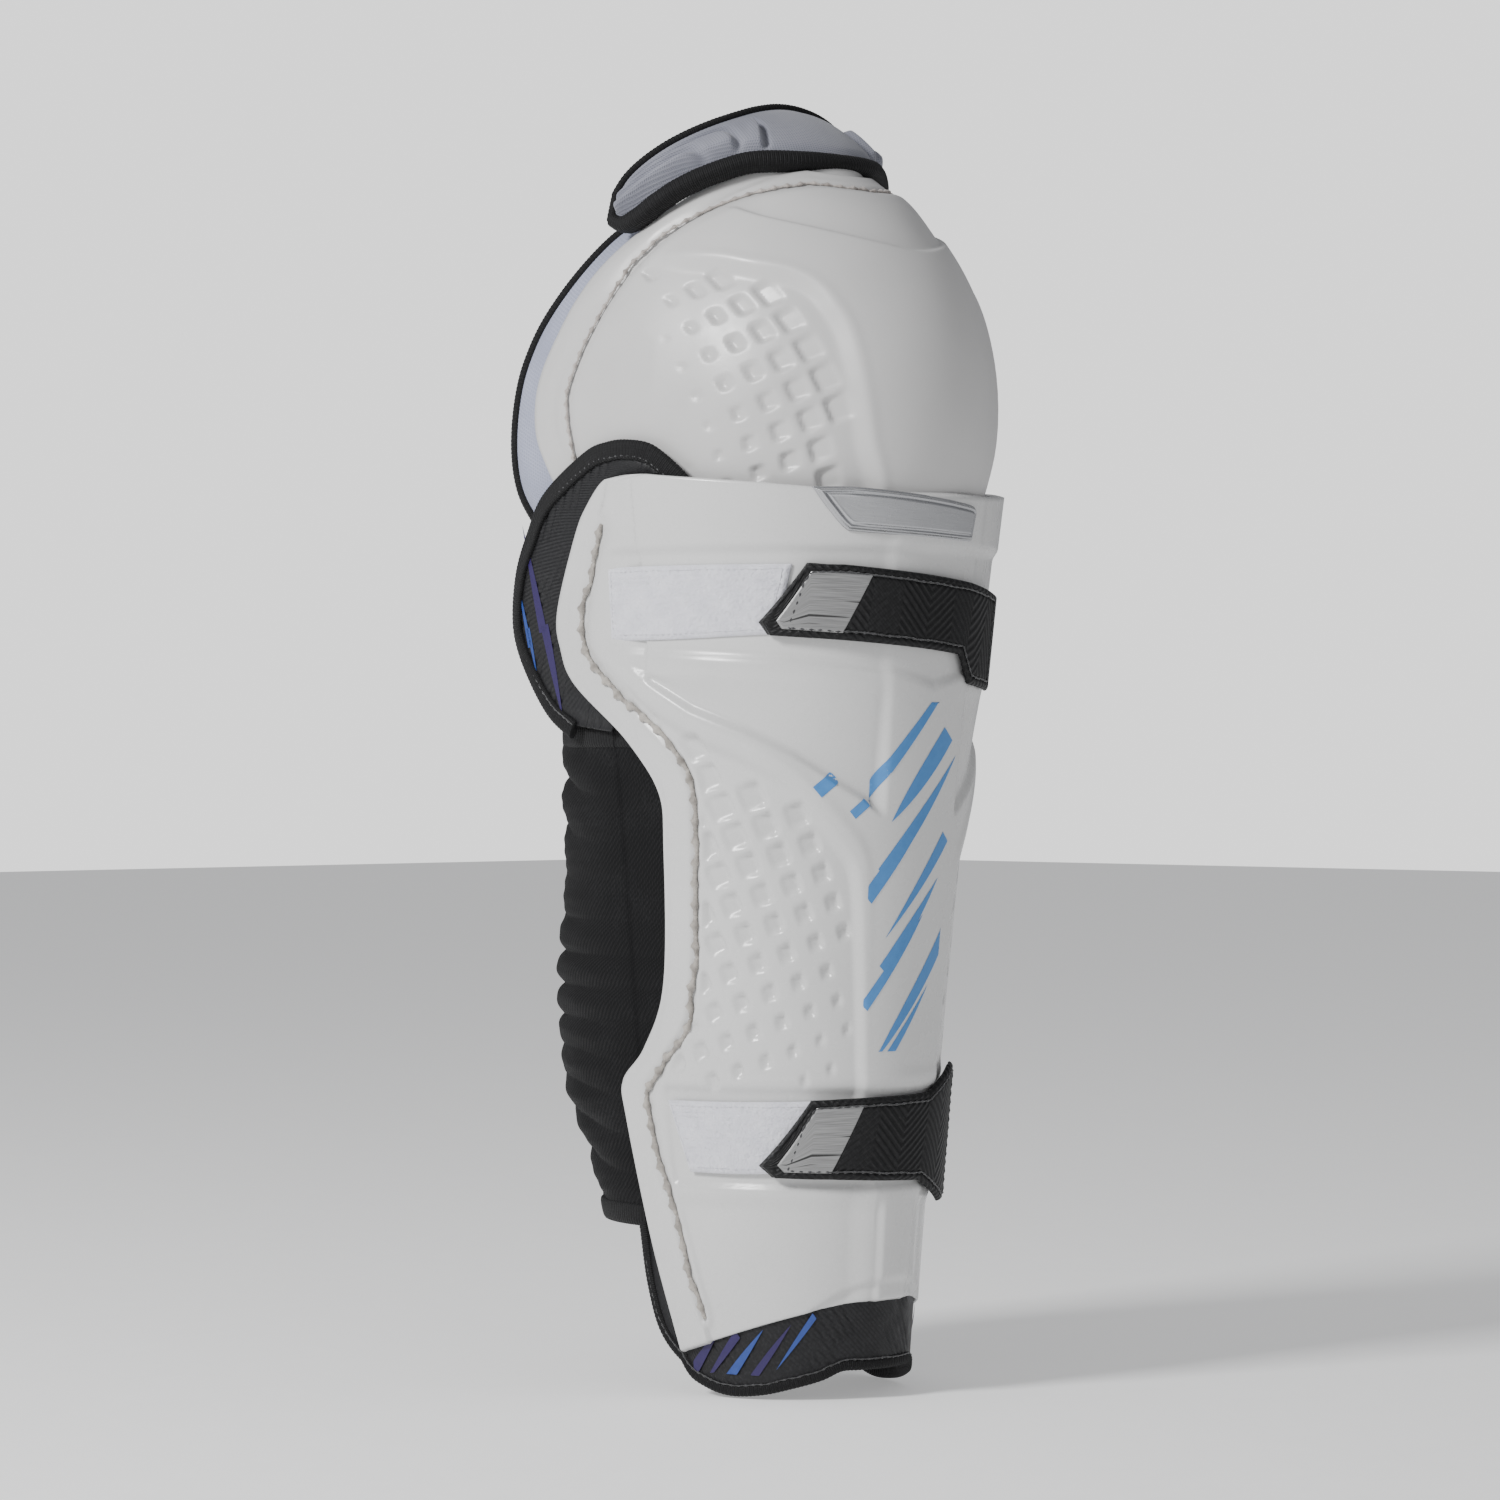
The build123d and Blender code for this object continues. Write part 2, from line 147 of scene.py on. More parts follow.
def mesh_piece(name, points, quads, tris, flat=None):
    """Mesh object from arrays of points, quads and triangles, turned outwards if its signed volume is below
    zero, with a flat layout in metres as its UV map when one is given."""
    corner = np.concatenate([quads[:, :3], quads[:, [0, 2, 3]], tris])
    a, b, c = points[corner[:, 0]], points[corner[:, 1]], points[corner[:, 2]]
    middle = points.mean(axis=0)
    if np.einsum("ij,ij->", a - middle, np.cross(b - middle, c - middle)) < 0:
        quads, tris = quads[:, ::-1], tris[:, ::-1]
    loops = np.concatenate([quads.ravel(), tris.ravel()]).astype(np.int32)
    sizes = np.concatenate([np.full(len(quads), 4), np.full(len(tris), 3)]).astype(np.int32)
    starts = (np.cumsum(sizes) - sizes).astype(np.int32)
    mesh = bpy.data.meshes.new(name)
    mesh.vertices.add(len(points))
    mesh.vertices.foreach_set("co", np.ascontiguousarray(points, dtype=np.float32).ravel())
    mesh.loops.add(len(loops))
    mesh.loops.foreach_set("vertex_index", loops)
    mesh.polygons.add(len(sizes))
    mesh.polygons.foreach_set("loop_start", starts)
    mesh.polygons.foreach_set("loop_total", sizes)
    mesh.update(calc_edges=True)
    mesh.polygons.foreach_set("use_smooth", np.ones(len(sizes), dtype=bool))
    if flat is not None:
        flat_map = mesh.uv_layers.new(name="flat")
        flat_map.data.foreach_set("uv", np.ascontiguousarray(flat[loops], dtype=np.float32).ravel())
    piece = bpy.data.objects.new(name, mesh)
    bpy.context.scene.collection.objects.link(piece)
    return piece


def grid_quads(rows, columns, start=0, close=False):
    """Quads of a grid of points held row by row; close joins the last column to the first."""
    i, j = np.meshgrid(np.arange(rows - 1), np.arange(columns if close else columns - 1), indexing="ij")
    k = (j + 1) % columns
    four = [i * columns + j, i * columns + k, (i + 1) * columns + k, (i + 1) * columns + j]
    return np.stack(four, axis=-1).reshape(-1, 4) + start


def border(rows, columns):
    """Indices round the edge of a grid, from its first corner along the first row."""
    low = np.arange(columns - 1)
    right = np.arange(rows - 1) * columns + columns - 1
    top = (rows - 1) * columns + np.arange(columns - 1, 0, -1)
    left = np.arange(rows - 1, 0, -1) * columns
    return np.concatenate([low, right, top, left])


def lay_out(points):
    """Flat layout of a grid in metres: distance along each row from its middle, and distance up the middle
    column."""
    across = np.linalg.norm(np.diff(points, axis=1), axis=2)
    s = np.concatenate([np.zeros((len(points), 1)), np.cumsum(across, axis=1)], axis=1)
    s = s - s[:, s.shape[1] // 2][:, None]
    v = run_of(points[:, points.shape[1] // 2])
    return np.stack([s, np.broadcast_to(v[:, None], s.shape)], axis=-1)


def wall(name, outer, inner, round_out=0.35):
    """Closed sheet: outer and inner grids joined round their edge by a lip of three rings, which bulges by
    round_out of the wall as half a sine.  The inner grid may have half as many steps."""
    rows, columns = outer.shape[:2]
    step = (rows - 1) // (inner.shape[0] - 1)
    loop_out = border(rows, columns)
    loop_in = border(*inner.shape[:2])
    flat_out, flat_in = outer.reshape(-1, 3), inner.reshape(-1, 3)
    i = np.clip(np.arange(rows), 1, rows - 2)
    j = np.clip(np.arange(columns), 1, columns - 2)
    away = (outer - outer[i][:, j]).reshape(-1, 3)[loop_out]
    away = away / np.maximum(np.linalg.norm(away, axis=1, keepdims=True), 1e-9)
    facing = np.repeat(flat_in[loop_in], step, axis=0)
    if step == 2:
        facing[1::2] = 0.5 * (flat_in[loop_in] + np.roll(flat_in[loop_in], -1, axis=0))
    thick = np.linalg.norm(flat_out[loop_out] - facing, axis=1, keepdims=True)
    rings = [flat_out[loop_out] * (1 - k) + facing * k + away * thick * math.sin(math.pi * k) * round_out
             for k in (0.15, 0.5, 0.85)]
    points = np.concatenate([flat_out, flat_in] + rings)
    count = len(loop_out)
    base = len(flat_out) + len(flat_in)
    quads = [grid_quads(rows, columns), grid_quads(*inner.shape[:2], start=len(flat_out))[:, ::-1]]
    chain = [loop_out] + [base + k * count + np.arange(count) for k in range(3)]
    for a, b in zip(chain[:-1], chain[1:]):
        quads.append(np.stack([a, b, np.roll(b, -1), np.roll(a, -1)], axis=1))
    last, end = chain[-1], loop_in + len(flat_out)
    tris = np.zeros((0, 3), int)
    if step == 1:
        quads.append(np.stack([last, end, np.roll(end, -1), np.roll(last, -1)], axis=1))
    else:
        a, b, c, d = last[::2], last[1::2], np.roll(last[::2], -1), np.roll(end, -1)
        tris = np.concatenate([np.stack([a, end, b], axis=1), np.stack([b, end, d], axis=1),
                               np.stack([b, d, c], axis=1)])
    flat = lay_out(outer).reshape(-1, 2)
    ring_flat = np.concatenate([flat[loop_out]] * 3)
    flat_all = np.concatenate([flat, lay_out(outer)[::step, ::step].reshape(-1, 2), ring_flat])
    return mesh_piece(name, points, np.concatenate(quads), tris, flat_all)


def layer(name, surface, p, q, high, low, skip=1, round_out=0.35):
    """Closed layer on a surface at the places (p, q), from offset low to offset high; skip 2 gives the inner
    face half as many steps."""
    return wall(name, surface(p, q, high), surface(p, q, low)[::skip, ::skip], round_out)


def place(piece, body, slot, material, *nodes):
    """Gives a piece its material and its body, and hides the CAD nodes that it stands for.  The slot is
    not used.
    """
    piece.data.materials.clear()
    piece.data.materials.append(material)
    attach(piece, body)
    if nodes:
        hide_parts(*nodes)
    return piece


def pits(across, up, first, second, half_at):
    """Depth share of rounded-square dimples on a slanting lattice.  A point is i first + j second;
    r is the sixth-power distance from the nearest lattice point along the two directions, and the dimple is
    where r is under its half size, with a sloping side 1.4 wide and a floor tilted by half."""
    matrix = np.linalg.inv(np.array([first, second]).T)
    i = matrix[0, 0] * across + matrix[0, 1] * up
    j = matrix[1, 0] * across + matrix[1, 1] * up
    ci, cj = np.round(i), np.round(j)
    x, y = (i - ci) * np.hypot(*first), (j - cj) * np.hypot(*second)
    half = half_at(ci * first[0] + cj * second[0], ci * first[1] + cj * second[1])
    r = (np.abs(x) ** 6 + np.abs(y) ** 6) ** (1 / 6)
    tilt = 0.75 + 0.5 * np.clip(x / np.maximum(half, 0.5), -1, 1)
    return np.clip((half + 0.15 - r) / 1.4, 0, 1) * tilt * smooth(half, 0.7, 2.8)


def flat_line(points):
    """A line given as (degrees, height), laid out flat in millimetres."""
    line = curve(points, 90)
    return line * np.array([FLAT_PER_DEGREE, 1.0])


def shell_relief(t, z, edge_gap):
    """Height of the pressed shell over its plain surface, in millimetres.  The ridge and spine stand up; the
    field under the ridge, the panel over it and the strap channels are pressed back; a groove takes the
    stitches, and outside it lies the flat flange."""
    q = np.abs(t / DEGREES + 2.0)
    x = q * FLAT_PER_DEGREE
    seam_gap = -beside(x, z, flat_line(SEAM))
    ridge_gap = beside(x, z, flat_line(RIDGE))
    field = smooth(ridge_gap, 3.5, 8.5) * smooth(q, 10, 22)
    height = 1.5 - 2.1 * field + 0.55 * bell(ridge_gap, 0.5, 2.6) * smooth(q, 16, 24)
    above = np.interp(q, *PANEL_STEP)
    panel = smooth(z, above - 1.2, above + 1.6) * smooth(q, 14.5, 19.0) * smooth(90 - q, 0, 10)
    height = height - (2.3 - 1.5 * smooth(z, above + 2, 250)) * panel
    height = height - 0.35 * bell(q, 17.0, 1.5) * smooth(z, 206, 214) * (1 - smooth(z, 240, 252))
    low = np.interp(q, [0, 14, 43, 69, 90], [246, 250, 254, 256, 258])
    channel = smooth(z, low - 1.5, low + 2.2) * (1 - smooth(z, 289.5, 293.5))
    height = height - 1.5 * channel * smooth(97 - q, 0, 10)
    height = height + 0.45 * bell(z, low - 5, 4.0) * smooth(88 - q, 0, 18) * smooth(q, 8, 20)
    lower = smooth(z, 75.5, 78.5) * (1 - smooth(z, 108.0, 111.5))
    height = height - 1.5 * lower * smooth(94 - q, 0, 9)
    height = height + 0.5 * bell(z, 114, 2.8) * smooth(70 - q, 0, 18)
    height = height - 1.2 * (1 - smooth(z, 68, 75)) * smooth(q, 7.0, 10.5)
    arch = 46.0 - 0.0085 * q * q
    height = height - 1.3 * (1 - smooth(z, arch - 2.2, arch + 0.8)) * smooth(42 - q, 0, 8)
    start_q, start_z = DIMPLE_START

    def half_at(mid_across, mid_up):
        """Half size of a dimple: 4.6 at the top back of the field, falling towards the lower front."""
        mid_q, mid_z = start_q - mid_across / DIMPLE_PER_DEGREE, start_z + mid_up
        away = beside(mid_q * FLAT_PER_DEGREE, mid_z, flat_line(RIDGE)[::6])
        size = 4.9 - 0.024 * (205 - mid_z) - 0.032 * (63 - mid_q)
        return np.where((away > 9.5) & (mid_z > 112) & (mid_q < 90), np.clip(size, 2.0, 4.8), 0.0)

    dimples = pits((start_q - q) * DIMPLE_PER_DEGREE, z - start_z, (11.2, 3.6), (-4.6, 9.8), half_at)
    height = height - 1.9 * dimples * smooth(seam_gap, 1.2, 2.2)
    flange = 1 - smooth(seam_gap, 0.5, 5.0)
    height = height * (1 - flange) + 0.1 * flange
    height = height - 1.3 * bell(seam_gap, 0.0, 1.5) * smooth(306 - z, 0, 8)
    height = height + 0.35 * bell(edge_gap, 0.6, 1.0) - 0.25 * bell(edge_gap, 2.4, 0.9)
    return height


shell_line = curve(SHELL_EDGE, 300)[::-1]
u = np.linspace(-1, 1, 289)[None, :]
level = np.linspace(SHELL_FOOT, SHELL_HEAD, 257)[:, None]
edge_y = np.interp(level, shell_line[:, 1], shell_line[:, 0])
shell_t = u * shin_turn(edge_y, level)
row_y = shin_point(shell_t, level, 0.0)[..., 1] / MM
foot = np.interp(row_y, [-62, -51, -16.5, -2], [40, 36.2, 24.5, 20])
head = np.interp(row_y, [-130, -54, -13], [304, 313.2, 317])
shell_z = foot + (head - foot) * (level - SHELL_FOOT) / (SHELL_HEAD - SHELL_FOOT)
flat_x = np.abs(shell_t) / DEGREES * FLAT_PER_DEGREE
long_edge = np.stack([flat_x[:, -1], shell_z[:, -1]], axis=1)[::3]
relief = shell_relief(shell_t, shell_z, np.abs(beside(flat_x, shell_z, long_edge)))
shell = layer("shin_shell_moulded", shin_point, shell_t, shell_z, relief,
              np.minimum(relief - 1.0, -SHELL_WALL), 2)


def node_material(name):
    """New node material: the material, its Principled shader, and two helpers that add nodes and links."""
    material = bpy.data.materials.new(name)
    material.use_nodes = True
    tree = material.node_tree
    shader = tree.nodes["Principled BSDF"]

    def add(kind, settings=None, **links):
        """Adds a node, sets its properties, and sets or links its inputs by name."""
        node = tree.nodes.new("ShaderNode" + kind)
        for key, value in (settings or {}).items():
            setattr(node, key, value)
        join(node, **links)
        return node

    def join(node, **links):
        """Sets or links inputs: a socket is linked and anything else is the input's own value."""
        for key, value in links.items():
            numbered = key[0] == "n" and key[1:].isdigit()
            socket = node.inputs[int(key[1:]) if numbered else key.replace("_", " ")]
            if isinstance(value, bpy.types.NodeSocket):
                tree.links.new(value, socket)
            else:
                socket.default_value = value

    return material, shader, add, join


def shades(add, source, *stops):
    """Colour ramp fed by a value, through (place, grey or colour) stops."""
    node = add("ValToRGB", Fac=source)
    bar = node.color_ramp
    for _ in stops[2:]:
        bar.elements.new(0.5)
    for element, (at, colour) in zip(bar.elements, stops):
        element.position = at
        element.color = (colour, colour, colour, 1.0) if isinstance(colour, float) else (*colour, 1.0)
    return node.outputs["Color"]


def noise(add, at, scale, detail, distortion=0.0):
    """Value of a noise texture at a place, from 0 to 1."""
    return add("TexNoise", Vector=at, Scale=scale, Detail=detail, Distortion=distortion).outputs["Fac"]


def bump(add, strength, distance, height, over=None):
    """Normal tilted by a height, on top of another bumped normal when one is given."""
    more = {} if over is None else dict(Normal=over)
    return add("Bump", Strength=strength, Distance=distance, Height=height, **more).outputs["Normal"]


def wave(add, at, bands, pitch, distortion=0.0, detail=2.0):
    """Value of a wave texture whose bands lie in a direction and repeat at a pitch in metres."""
    return add("TexWave", dict(bands_direction=bands), Vector=at, Scale=WAVE_PERIOD / pitch,
               Distortion=distortion, Detail=detail).outputs["Fac"]


def arithmetic(add, operation, first, second):
    """Two values put through one operation."""
    return add("Math", dict(operation=operation), n0=first, n1=second).outputs[0]


def moulded_plastic(name, light, dark, rough, grain):
    """Pressed polyethylene: two close tints in slow clouds, satin gloss with rougher patches, a fine pebbled
    grain and sparse hair scratches."""
    material, shader, add, join = node_material(name)
    at = add("TexCoord").outputs["Object"]
    clouds = noise(add, at, 20.0, 4.0)
    spots = noise(add, at, 150.0, 6.0)
    pebble = noise(add, at, 1100.0, 2.0)
    stretched = add("Mapping", Vector=at, Rotation=(0.4, 0.7, 0.2), Scale=(50.0, 50.0, 900.0))
    hairs = noise(add, stretched.outputs["Vector"], 1.0, 3.0)
    fine = bump(add, grain, 0.0002, pebble)
    scratched = bump(add, 0.04, 0.0002, shades(add, hairs, (0.67, 0.0), (0.72, 1.0)), fine)
    join(shader, Base_Color=shades(add, clouds, (0.3, dark), (0.7, light)),
         Roughness=shades(add, spots, (0.3, rough - 0.05), (0.75, rough + 0.08)), Normal=scratched,
         Subsurface_Weight=0.05, Subsurface_Radius=(0.004, 0.004, 0.004), Coat_Weight=0.1,
         Coat_Roughness=0.2)
    return material


shell_plastic = moulded_plastic("shell_plastic", (0.64, 0.64, 0.635), (0.60, 0.60, 0.595), 0.26, 0.06)
place(shell, "shin", "shell_white", shell_plastic, "shin_shell")

# ======================================================================================
# Shell stitching.  One lock-stitched seam of waxed beige thread down each flange, which
# sews the shell to the liner.  The thread is two-ply and knots down every seven millimetres.
# ======================================================================================
KNOT_PITCH = 0.0071


def frames(path, normal):
    """Side and up directions along a path: side is tangent x normal, and up is side x tangent."""
    tangent = np.gradient(path, axis=0)
    tangent /= np.linalg.norm(tangent, axis=1, keepdims=True)
    side = np.cross(tangent, normal)
    side /= np.linalg.norm(side, axis=1, keepdims=True)
    return side, np.cross(side, tangent)


def sweep(name, path, normal, section):
    """Closed tube along a path: each ring is the path point plus section[..., 0] sideways and the other
    up; the ends are closed by a fan to the ring's middle."""
    side, up = frames(path, normal)
    rings = path[:, None] + side[:, None] * section[..., :1] + up[:, None] * section[..., 1:]
    rows, columns = rings.shape[:2]
    points = np.concatenate([rings.reshape(-1, 3), rings[0].mean(0)[None], rings[-1].mean(0)[None]])
    first = np.arange(columns)
    last = first + (rows - 1) * columns
    start = np.stack([np.full(columns, rows * columns), np.roll(first, -1), first], axis=1)
    stop = np.stack([np.full(columns, rows * columns + 1), last, np.roll(last, -1)], axis=1)
    flat = np.stack([np.broadcast_to(run_of(path)[:, None], (rows, columns)),
                     np.broadcast_to(np.linspace(0, 0.012, columns)[None], (rows, columns))], axis=-1)
    flat = np.concatenate([flat.reshape(-1, 2), flat[0, :1], flat[-1, :1]])
    fans = np.concatenate([start, stop])
    return mesh_piece(name, points, grid_quads(rows, columns, close=True), fans, flat)


def thread_section(run, thick, pitch, seed):
    """Section of a lock-stitched thread: two plies twisted round each other, thinner and lower where the
    stitch dives, with a knot that swells between stitches and an uneven lean that a fixed seed sets."""
    rng = np.random.default_rng(seed)
    beats = int(run[-1] / pitch) + 3
    wander = np.interp(run / pitch, np.arange(beats), rng.normal(0, 1, beats))
    swell = np.interp(run / pitch, np.arange(beats), rng.uniform(0.75, 1.2, beats))
    phase = (run / pitch) % 1.0
    knot = bell(phase, 0.5, 0.16) * swell
    angle = np.linspace(0, 2 * math.pi, 12, endpoint=False)[None, :]
    twist = run[:, None] * 2 * math.pi / (pitch * 0.42)
    radius = thick * (0.62 + 0.26 * np.abs(np.cos(angle - twist)) + 0.85 * knot[:, None])
    side = radius * np.cos(angle) + thick * 0.5 * wander[:, None] + thick * 0.3 * knot[:, None]
    up = radius * np.sin(angle) * 0.8 + thick * (0.2 * knot - 0.6 * bell(phase, 0.0, 0.10))[:, None]
    return np.stack([side, up], axis=-1)


def waxed_thread(name, colour, shade):
    """Waxed polyester thread: fine slanting fibres along the strand, soft sheen and uneven dirt."""
    material, shader, add, join = node_material(name)
    at = add("UVMap").outputs["UV"]
    slanted = add("Mapping", Vector=at, Rotation=(0, 0, 0.6), Scale=(900.0, 2600.0, 1.0)).outputs["Vector"]
    fibre = noise(add, slanted, 1.0, 3.0)
    dirt = noise(add, add("TexCoord").outputs["Object"], 260.0, 4.0)
    join(shader, Base_Color=shades(add, dirt, (0.32, shade), (0.62, colour)),
         Roughness=shades(add, fibre, (0.3, 0.5), (0.7, 0.8)),
         Normal=bump(add, 0.6, 0.0002, fibre),
         Sheen_Weight=0.4, Sheen_Roughness=0.5)
    return material


def spread(values, count):
    """Rows of values spread over a new count of evenly spaced rows."""
    old, new = np.linspace(0, 1, len(values)), np.linspace(0, 1, count)
    return np.stack([np.interp(new, old, values[:, k]) for k in range(values.shape[1])], axis=1)


def rail(surface, p, q, h, step):
    """Evenly spaced path along a line on a surface at offset h, and the surface's normal beside it, which is
    how far each point moves as the offset grows."""
    path = surface(p, q, h)
    count = int(run_of(path)[-1] / step)
    return even(path, count), spread(surface(p, q, h + 1.0) - path, count)


def seam_thread(name, surface, p, q, h, thick, pitch, seed):
    """Thread along a line on a surface: the surface point at each (p, q), lifted to h."""
    path, normal = rail(surface, p, q, h, 0.00042)
    return sweep(name, path, normal, thread_section(run_of(path), thick, pitch, seed))


beige_thread = waxed_thread("beige_thread", (0.42, 0.39, 0.35), (0.20, 0.18, 0.16))
seam = curve(SEAM, 400)
for name, side in (("lateral", -1), ("medial", 1)):
    turn = (side * seam[:, 0] - 2.0) * DEGREES
    thread = seam_thread(f"shell_seam_{name}", shin_point, turn, seam[:, 1], -0.30, 0.00098, KNOT_PITCH,
                         3 + side)
    place(thread, "shin", "loop_white", beige_thread)

# ======================================================================================
# Printed strokes.  Blue ink screen-printed on the pressed face of the shell: slanting
# tapered strokes down the spine and two short chips above the ridge.
# ======================================================================================


def strokes(name, surface, x, z, half_long, half_wide, lean, taper, limits, mirror=False):
    """Printed strokes: each runs along a line leaning by an angle from the horizontal, widest at one end and
    narrowing to a point by the power of taper at the other, and is cut off square at the print's limits.
    Arrays give each stroke's middle, half sizes and taper, negative to point the other way."""
    rows, columns = 41, 5
    s = np.linspace(-1, 1, rows)[None, :, None]
    w = np.linspace(1, -1, columns)[None, None, :]
    x, z, half_long, half_wide, taper = (np.asarray(k, float)[:, None, None]
                                         for k in (x, z, half_long, half_wide, taper))
    width = half_wide * (1 - ((1 + np.sign(taper) * s) / 2) ** np.abs(taper))
    across = x + half_long * s * math.cos(lean) - width * w * math.sin(lean)
    up = z + half_long * s * math.sin(lean) + width * w * math.cos(lean)
    across = np.clip(across, limits[0], limits[1])
    up = np.clip(up, limits[2], limits[3])
    points = surface(across, up)
    cells = np.concatenate([grid_quads(rows, columns, k * rows * columns) for k in range(len(points))])
    cells = cells[:, ::-1] if mirror else cells
    flat = np.stack([across, up], axis=-1).reshape(-1, 2) * MM
    return mesh_piece(name, points.reshape(-1, 3), cells, np.zeros((0, 3), int), flat)


def printed_ink(name, colour, pale):
    """Screen-printed ink on plastic: even colour with a faint mottle and a satin face."""
    material, shader, add, join = node_material(name)
    at = add("TexCoord").outputs["Object"]
    mottle = noise(add, at, 420.0, 4.0)
    join(shader, Base_Color=shades(add, mottle, (0.3, colour), (0.7, pale)),
         Roughness=shades(add, mottle, (0.3, 0.32), (0.7, 0.44)),
         Normal=bump(add, 0.08, 0.0001, mottle))
    return material


def on_shell(x, z):
    """Point of the pressed shell's face at flat place x (millimetres from its centre line) and height z."""
    t = (x / FLAT_PER_DEGREE - 2.0) * DEGREES
    return shin_point(t, z, shell_relief(t, z, 20.0 + 0 * t) + 0.12)


blue_ink = printed_ink("blue_ink", (0.050, 0.205, 0.50), (0.060, 0.230, 0.54))
rng = np.random.default_rng(12)
count = 10
middle = np.arange(count)
flip = np.where(middle % 3 == 1, -1.0, 1.0)
graphic = strokes("spine_strokes", on_shell, -5 + 6 * np.sin(middle * 2.2), 129.0 + 12.3 * middle,
                  rng.uniform(18, 30, count), rng.uniform(1.7, 3.6, count), 50 * DEGREES,
                  flip * rng.uniform(1.3, 2.6, count), (-24.0, 15.0, 123.0, 240.5))
place(graphic, "shin", "nameplate_silver", blue_ink)
chips = strokes("ridge_chips", on_shell, (-40.0, -28.0), (213.0, 205.0), (4.2, 3.6), (2.3, 1.7),
                40 * DEGREES, (40.0, 40.0), (-48.0, -22.0, 190.0, 225.0))
place(chips, "shin", "nameplate_silver", blue_ink)

# ======================================================================================
# Nameplate.  A blank plate of bright silver-coated plastic, heat-bonded into a shallow seat
# at the top of the shell: raised, with a slope all round and one long slanted end.
# ======================================================================================
PLATE_LOW = ((-46.5, 310.8), (-42.5, 304.5), (-37.8, 298.4), (-34.0, 297.2), (-14, 295.8), (8.0, 294.8),
             (10, 296.4))
PLATE_HIGH = ((-47.0, 311.6), (-38.0, 311.6), (-30.0, 311.0), (-14, 309.4), (0, 307.8), (9.5, 306.4),
              (11.3, 304.4))


def strip(low, high, rows, columns, smoothly=True):
    """Flat grid between two lines: points at the same share of each line's length, joined straight."""
    a = curve(low, columns) if smoothly else even(np.array(low, float), columns)
    b = curve(high, columns) if smoothly else even(np.array(high, float), columns)
    v = np.linspace(0, 1, rows)[:, None, None]
    return a[None] * (1 - v) + b[None] * v


def rim_gap(flat):
    """Distance of each point of a flat grid from the grid's edge."""
    rows, columns = flat.shape[:2]
    loop = flat.reshape(-1, 2)[border(rows, columns)]
    loop = np.concatenate([loop, loop[:1]])[::2]
    return np.abs(beside(flat[..., 0], flat[..., 1], loop))


def front_turn(x, z, h):
    """Angle t where the shin surface at offset h has this x: the arc sine of x / (a + h)."""
    return np.arcsin(np.clip(x / (shin_half(z) + h), -1, 1))


def brushed_silver(name, streak, tint):
    """Vacuum-coated silver film: bright metal with fine brushed streaks along the flat layout, worn duller
    in clouds."""
    material, shader, add, join = node_material(name)
    at = add("UVMap").outputs["UV"]
    brushed = add("Mapping", Vector=at, Rotation=(0, 0, streak), Scale=(70.0, 5200.0, 1.0)).outputs["Vector"]
    lines = noise(add, brushed, 1.0, 5.0)
    worn = noise(add, add("TexCoord").outputs["Object"], 120.0, 3.0)
    dull = tuple(0.82 * k for k in tint)
    join(shader, Base_Color=shades(add, lines, (0.3, dull), (0.7, tint)), Metallic=0.85,
         Roughness=shades(add, worn, (0.3, 0.20), (0.7, 0.34)),
         Normal=bump(add, 0.22, 0.0001, lines))
    return material


plate_flat = strip(PLATE_LOW, PLATE_HIGH, 61, 241)
plate_gap = rim_gap(plate_flat)
plate_x, plate_z = plate_flat[..., 0], plate_flat[..., 1]
plate_high = 1.6 + 1.6 * smooth(plate_gap, 0.1, 1.5)
plate_high = plate_high - 0.8 * (1 - smooth(plate_gap, 1.9, 2.7)) * smooth(plate_gap, 0.8, 1.7)
plate_high = plate_high - 1.5 * (1 - smooth(plate_x, -40, -31)) * smooth(plate_gap, 1.0, 3.0)
plate = layer("nameplate_blank", shin_point, front_turn(plate_x, plate_z, 0.0), plate_z, plate_high, 0.9, 2)
silver = brushed_silver("silver_film", 0.05, (0.47, 0.475, 0.49))
place(plate, "shin", "nameplate_silver", silver, "nameplate")

# ======================================================================================
# Loop patches.  Two strips of white hook-and-loop pile stitched flat in the strap channels
# on the outer side.  Straps press onto them.
# ======================================================================================
UPPER_PATCH = (((8.5, 261.5), (-22, 261.8), (-54.0, 263.2)), ((7.0, 286.0), (-22, 286.2), (-60.0, 286.2)))
LOWER_PATCH = (((-10.5, 81.4), (-29, 81.4), (-47.0, 82.2)), ((-2.4, 105.2), (-29, 105.6), (-53.0, 106.2)))


def loop_pile(name, light, dark):
    """Brushed loop pile: a felt of crossing fine fibres with paler tufts, no gloss and a soft sheen."""
    material, shader, add, join = node_material(name)
    at = add("UVMap").outputs["UV"]
    fibre = noise(add, at, 1700.0, 5.0, 1.6)
    tufts = add("TexVoronoi", Vector=at, Scale=520.0).outputs["Distance"]
    cloud = noise(add, at, 130.0, 5.0)
    low = bump(add, 0.5, 0.0005, tufts)
    join(shader, Base_Color=shades(add, cloud, (0.35, dark), (0.68, light)),
         Roughness=shades(add, fibre, (0.3, 0.85), (0.7, 1.0)),
         Normal=bump(add, 0.8, 0.0004, fibre, low),
         Sheen_Weight=0.6, Sheen_Roughness=0.6, Specular_IOR_Level=0.15)
    return material


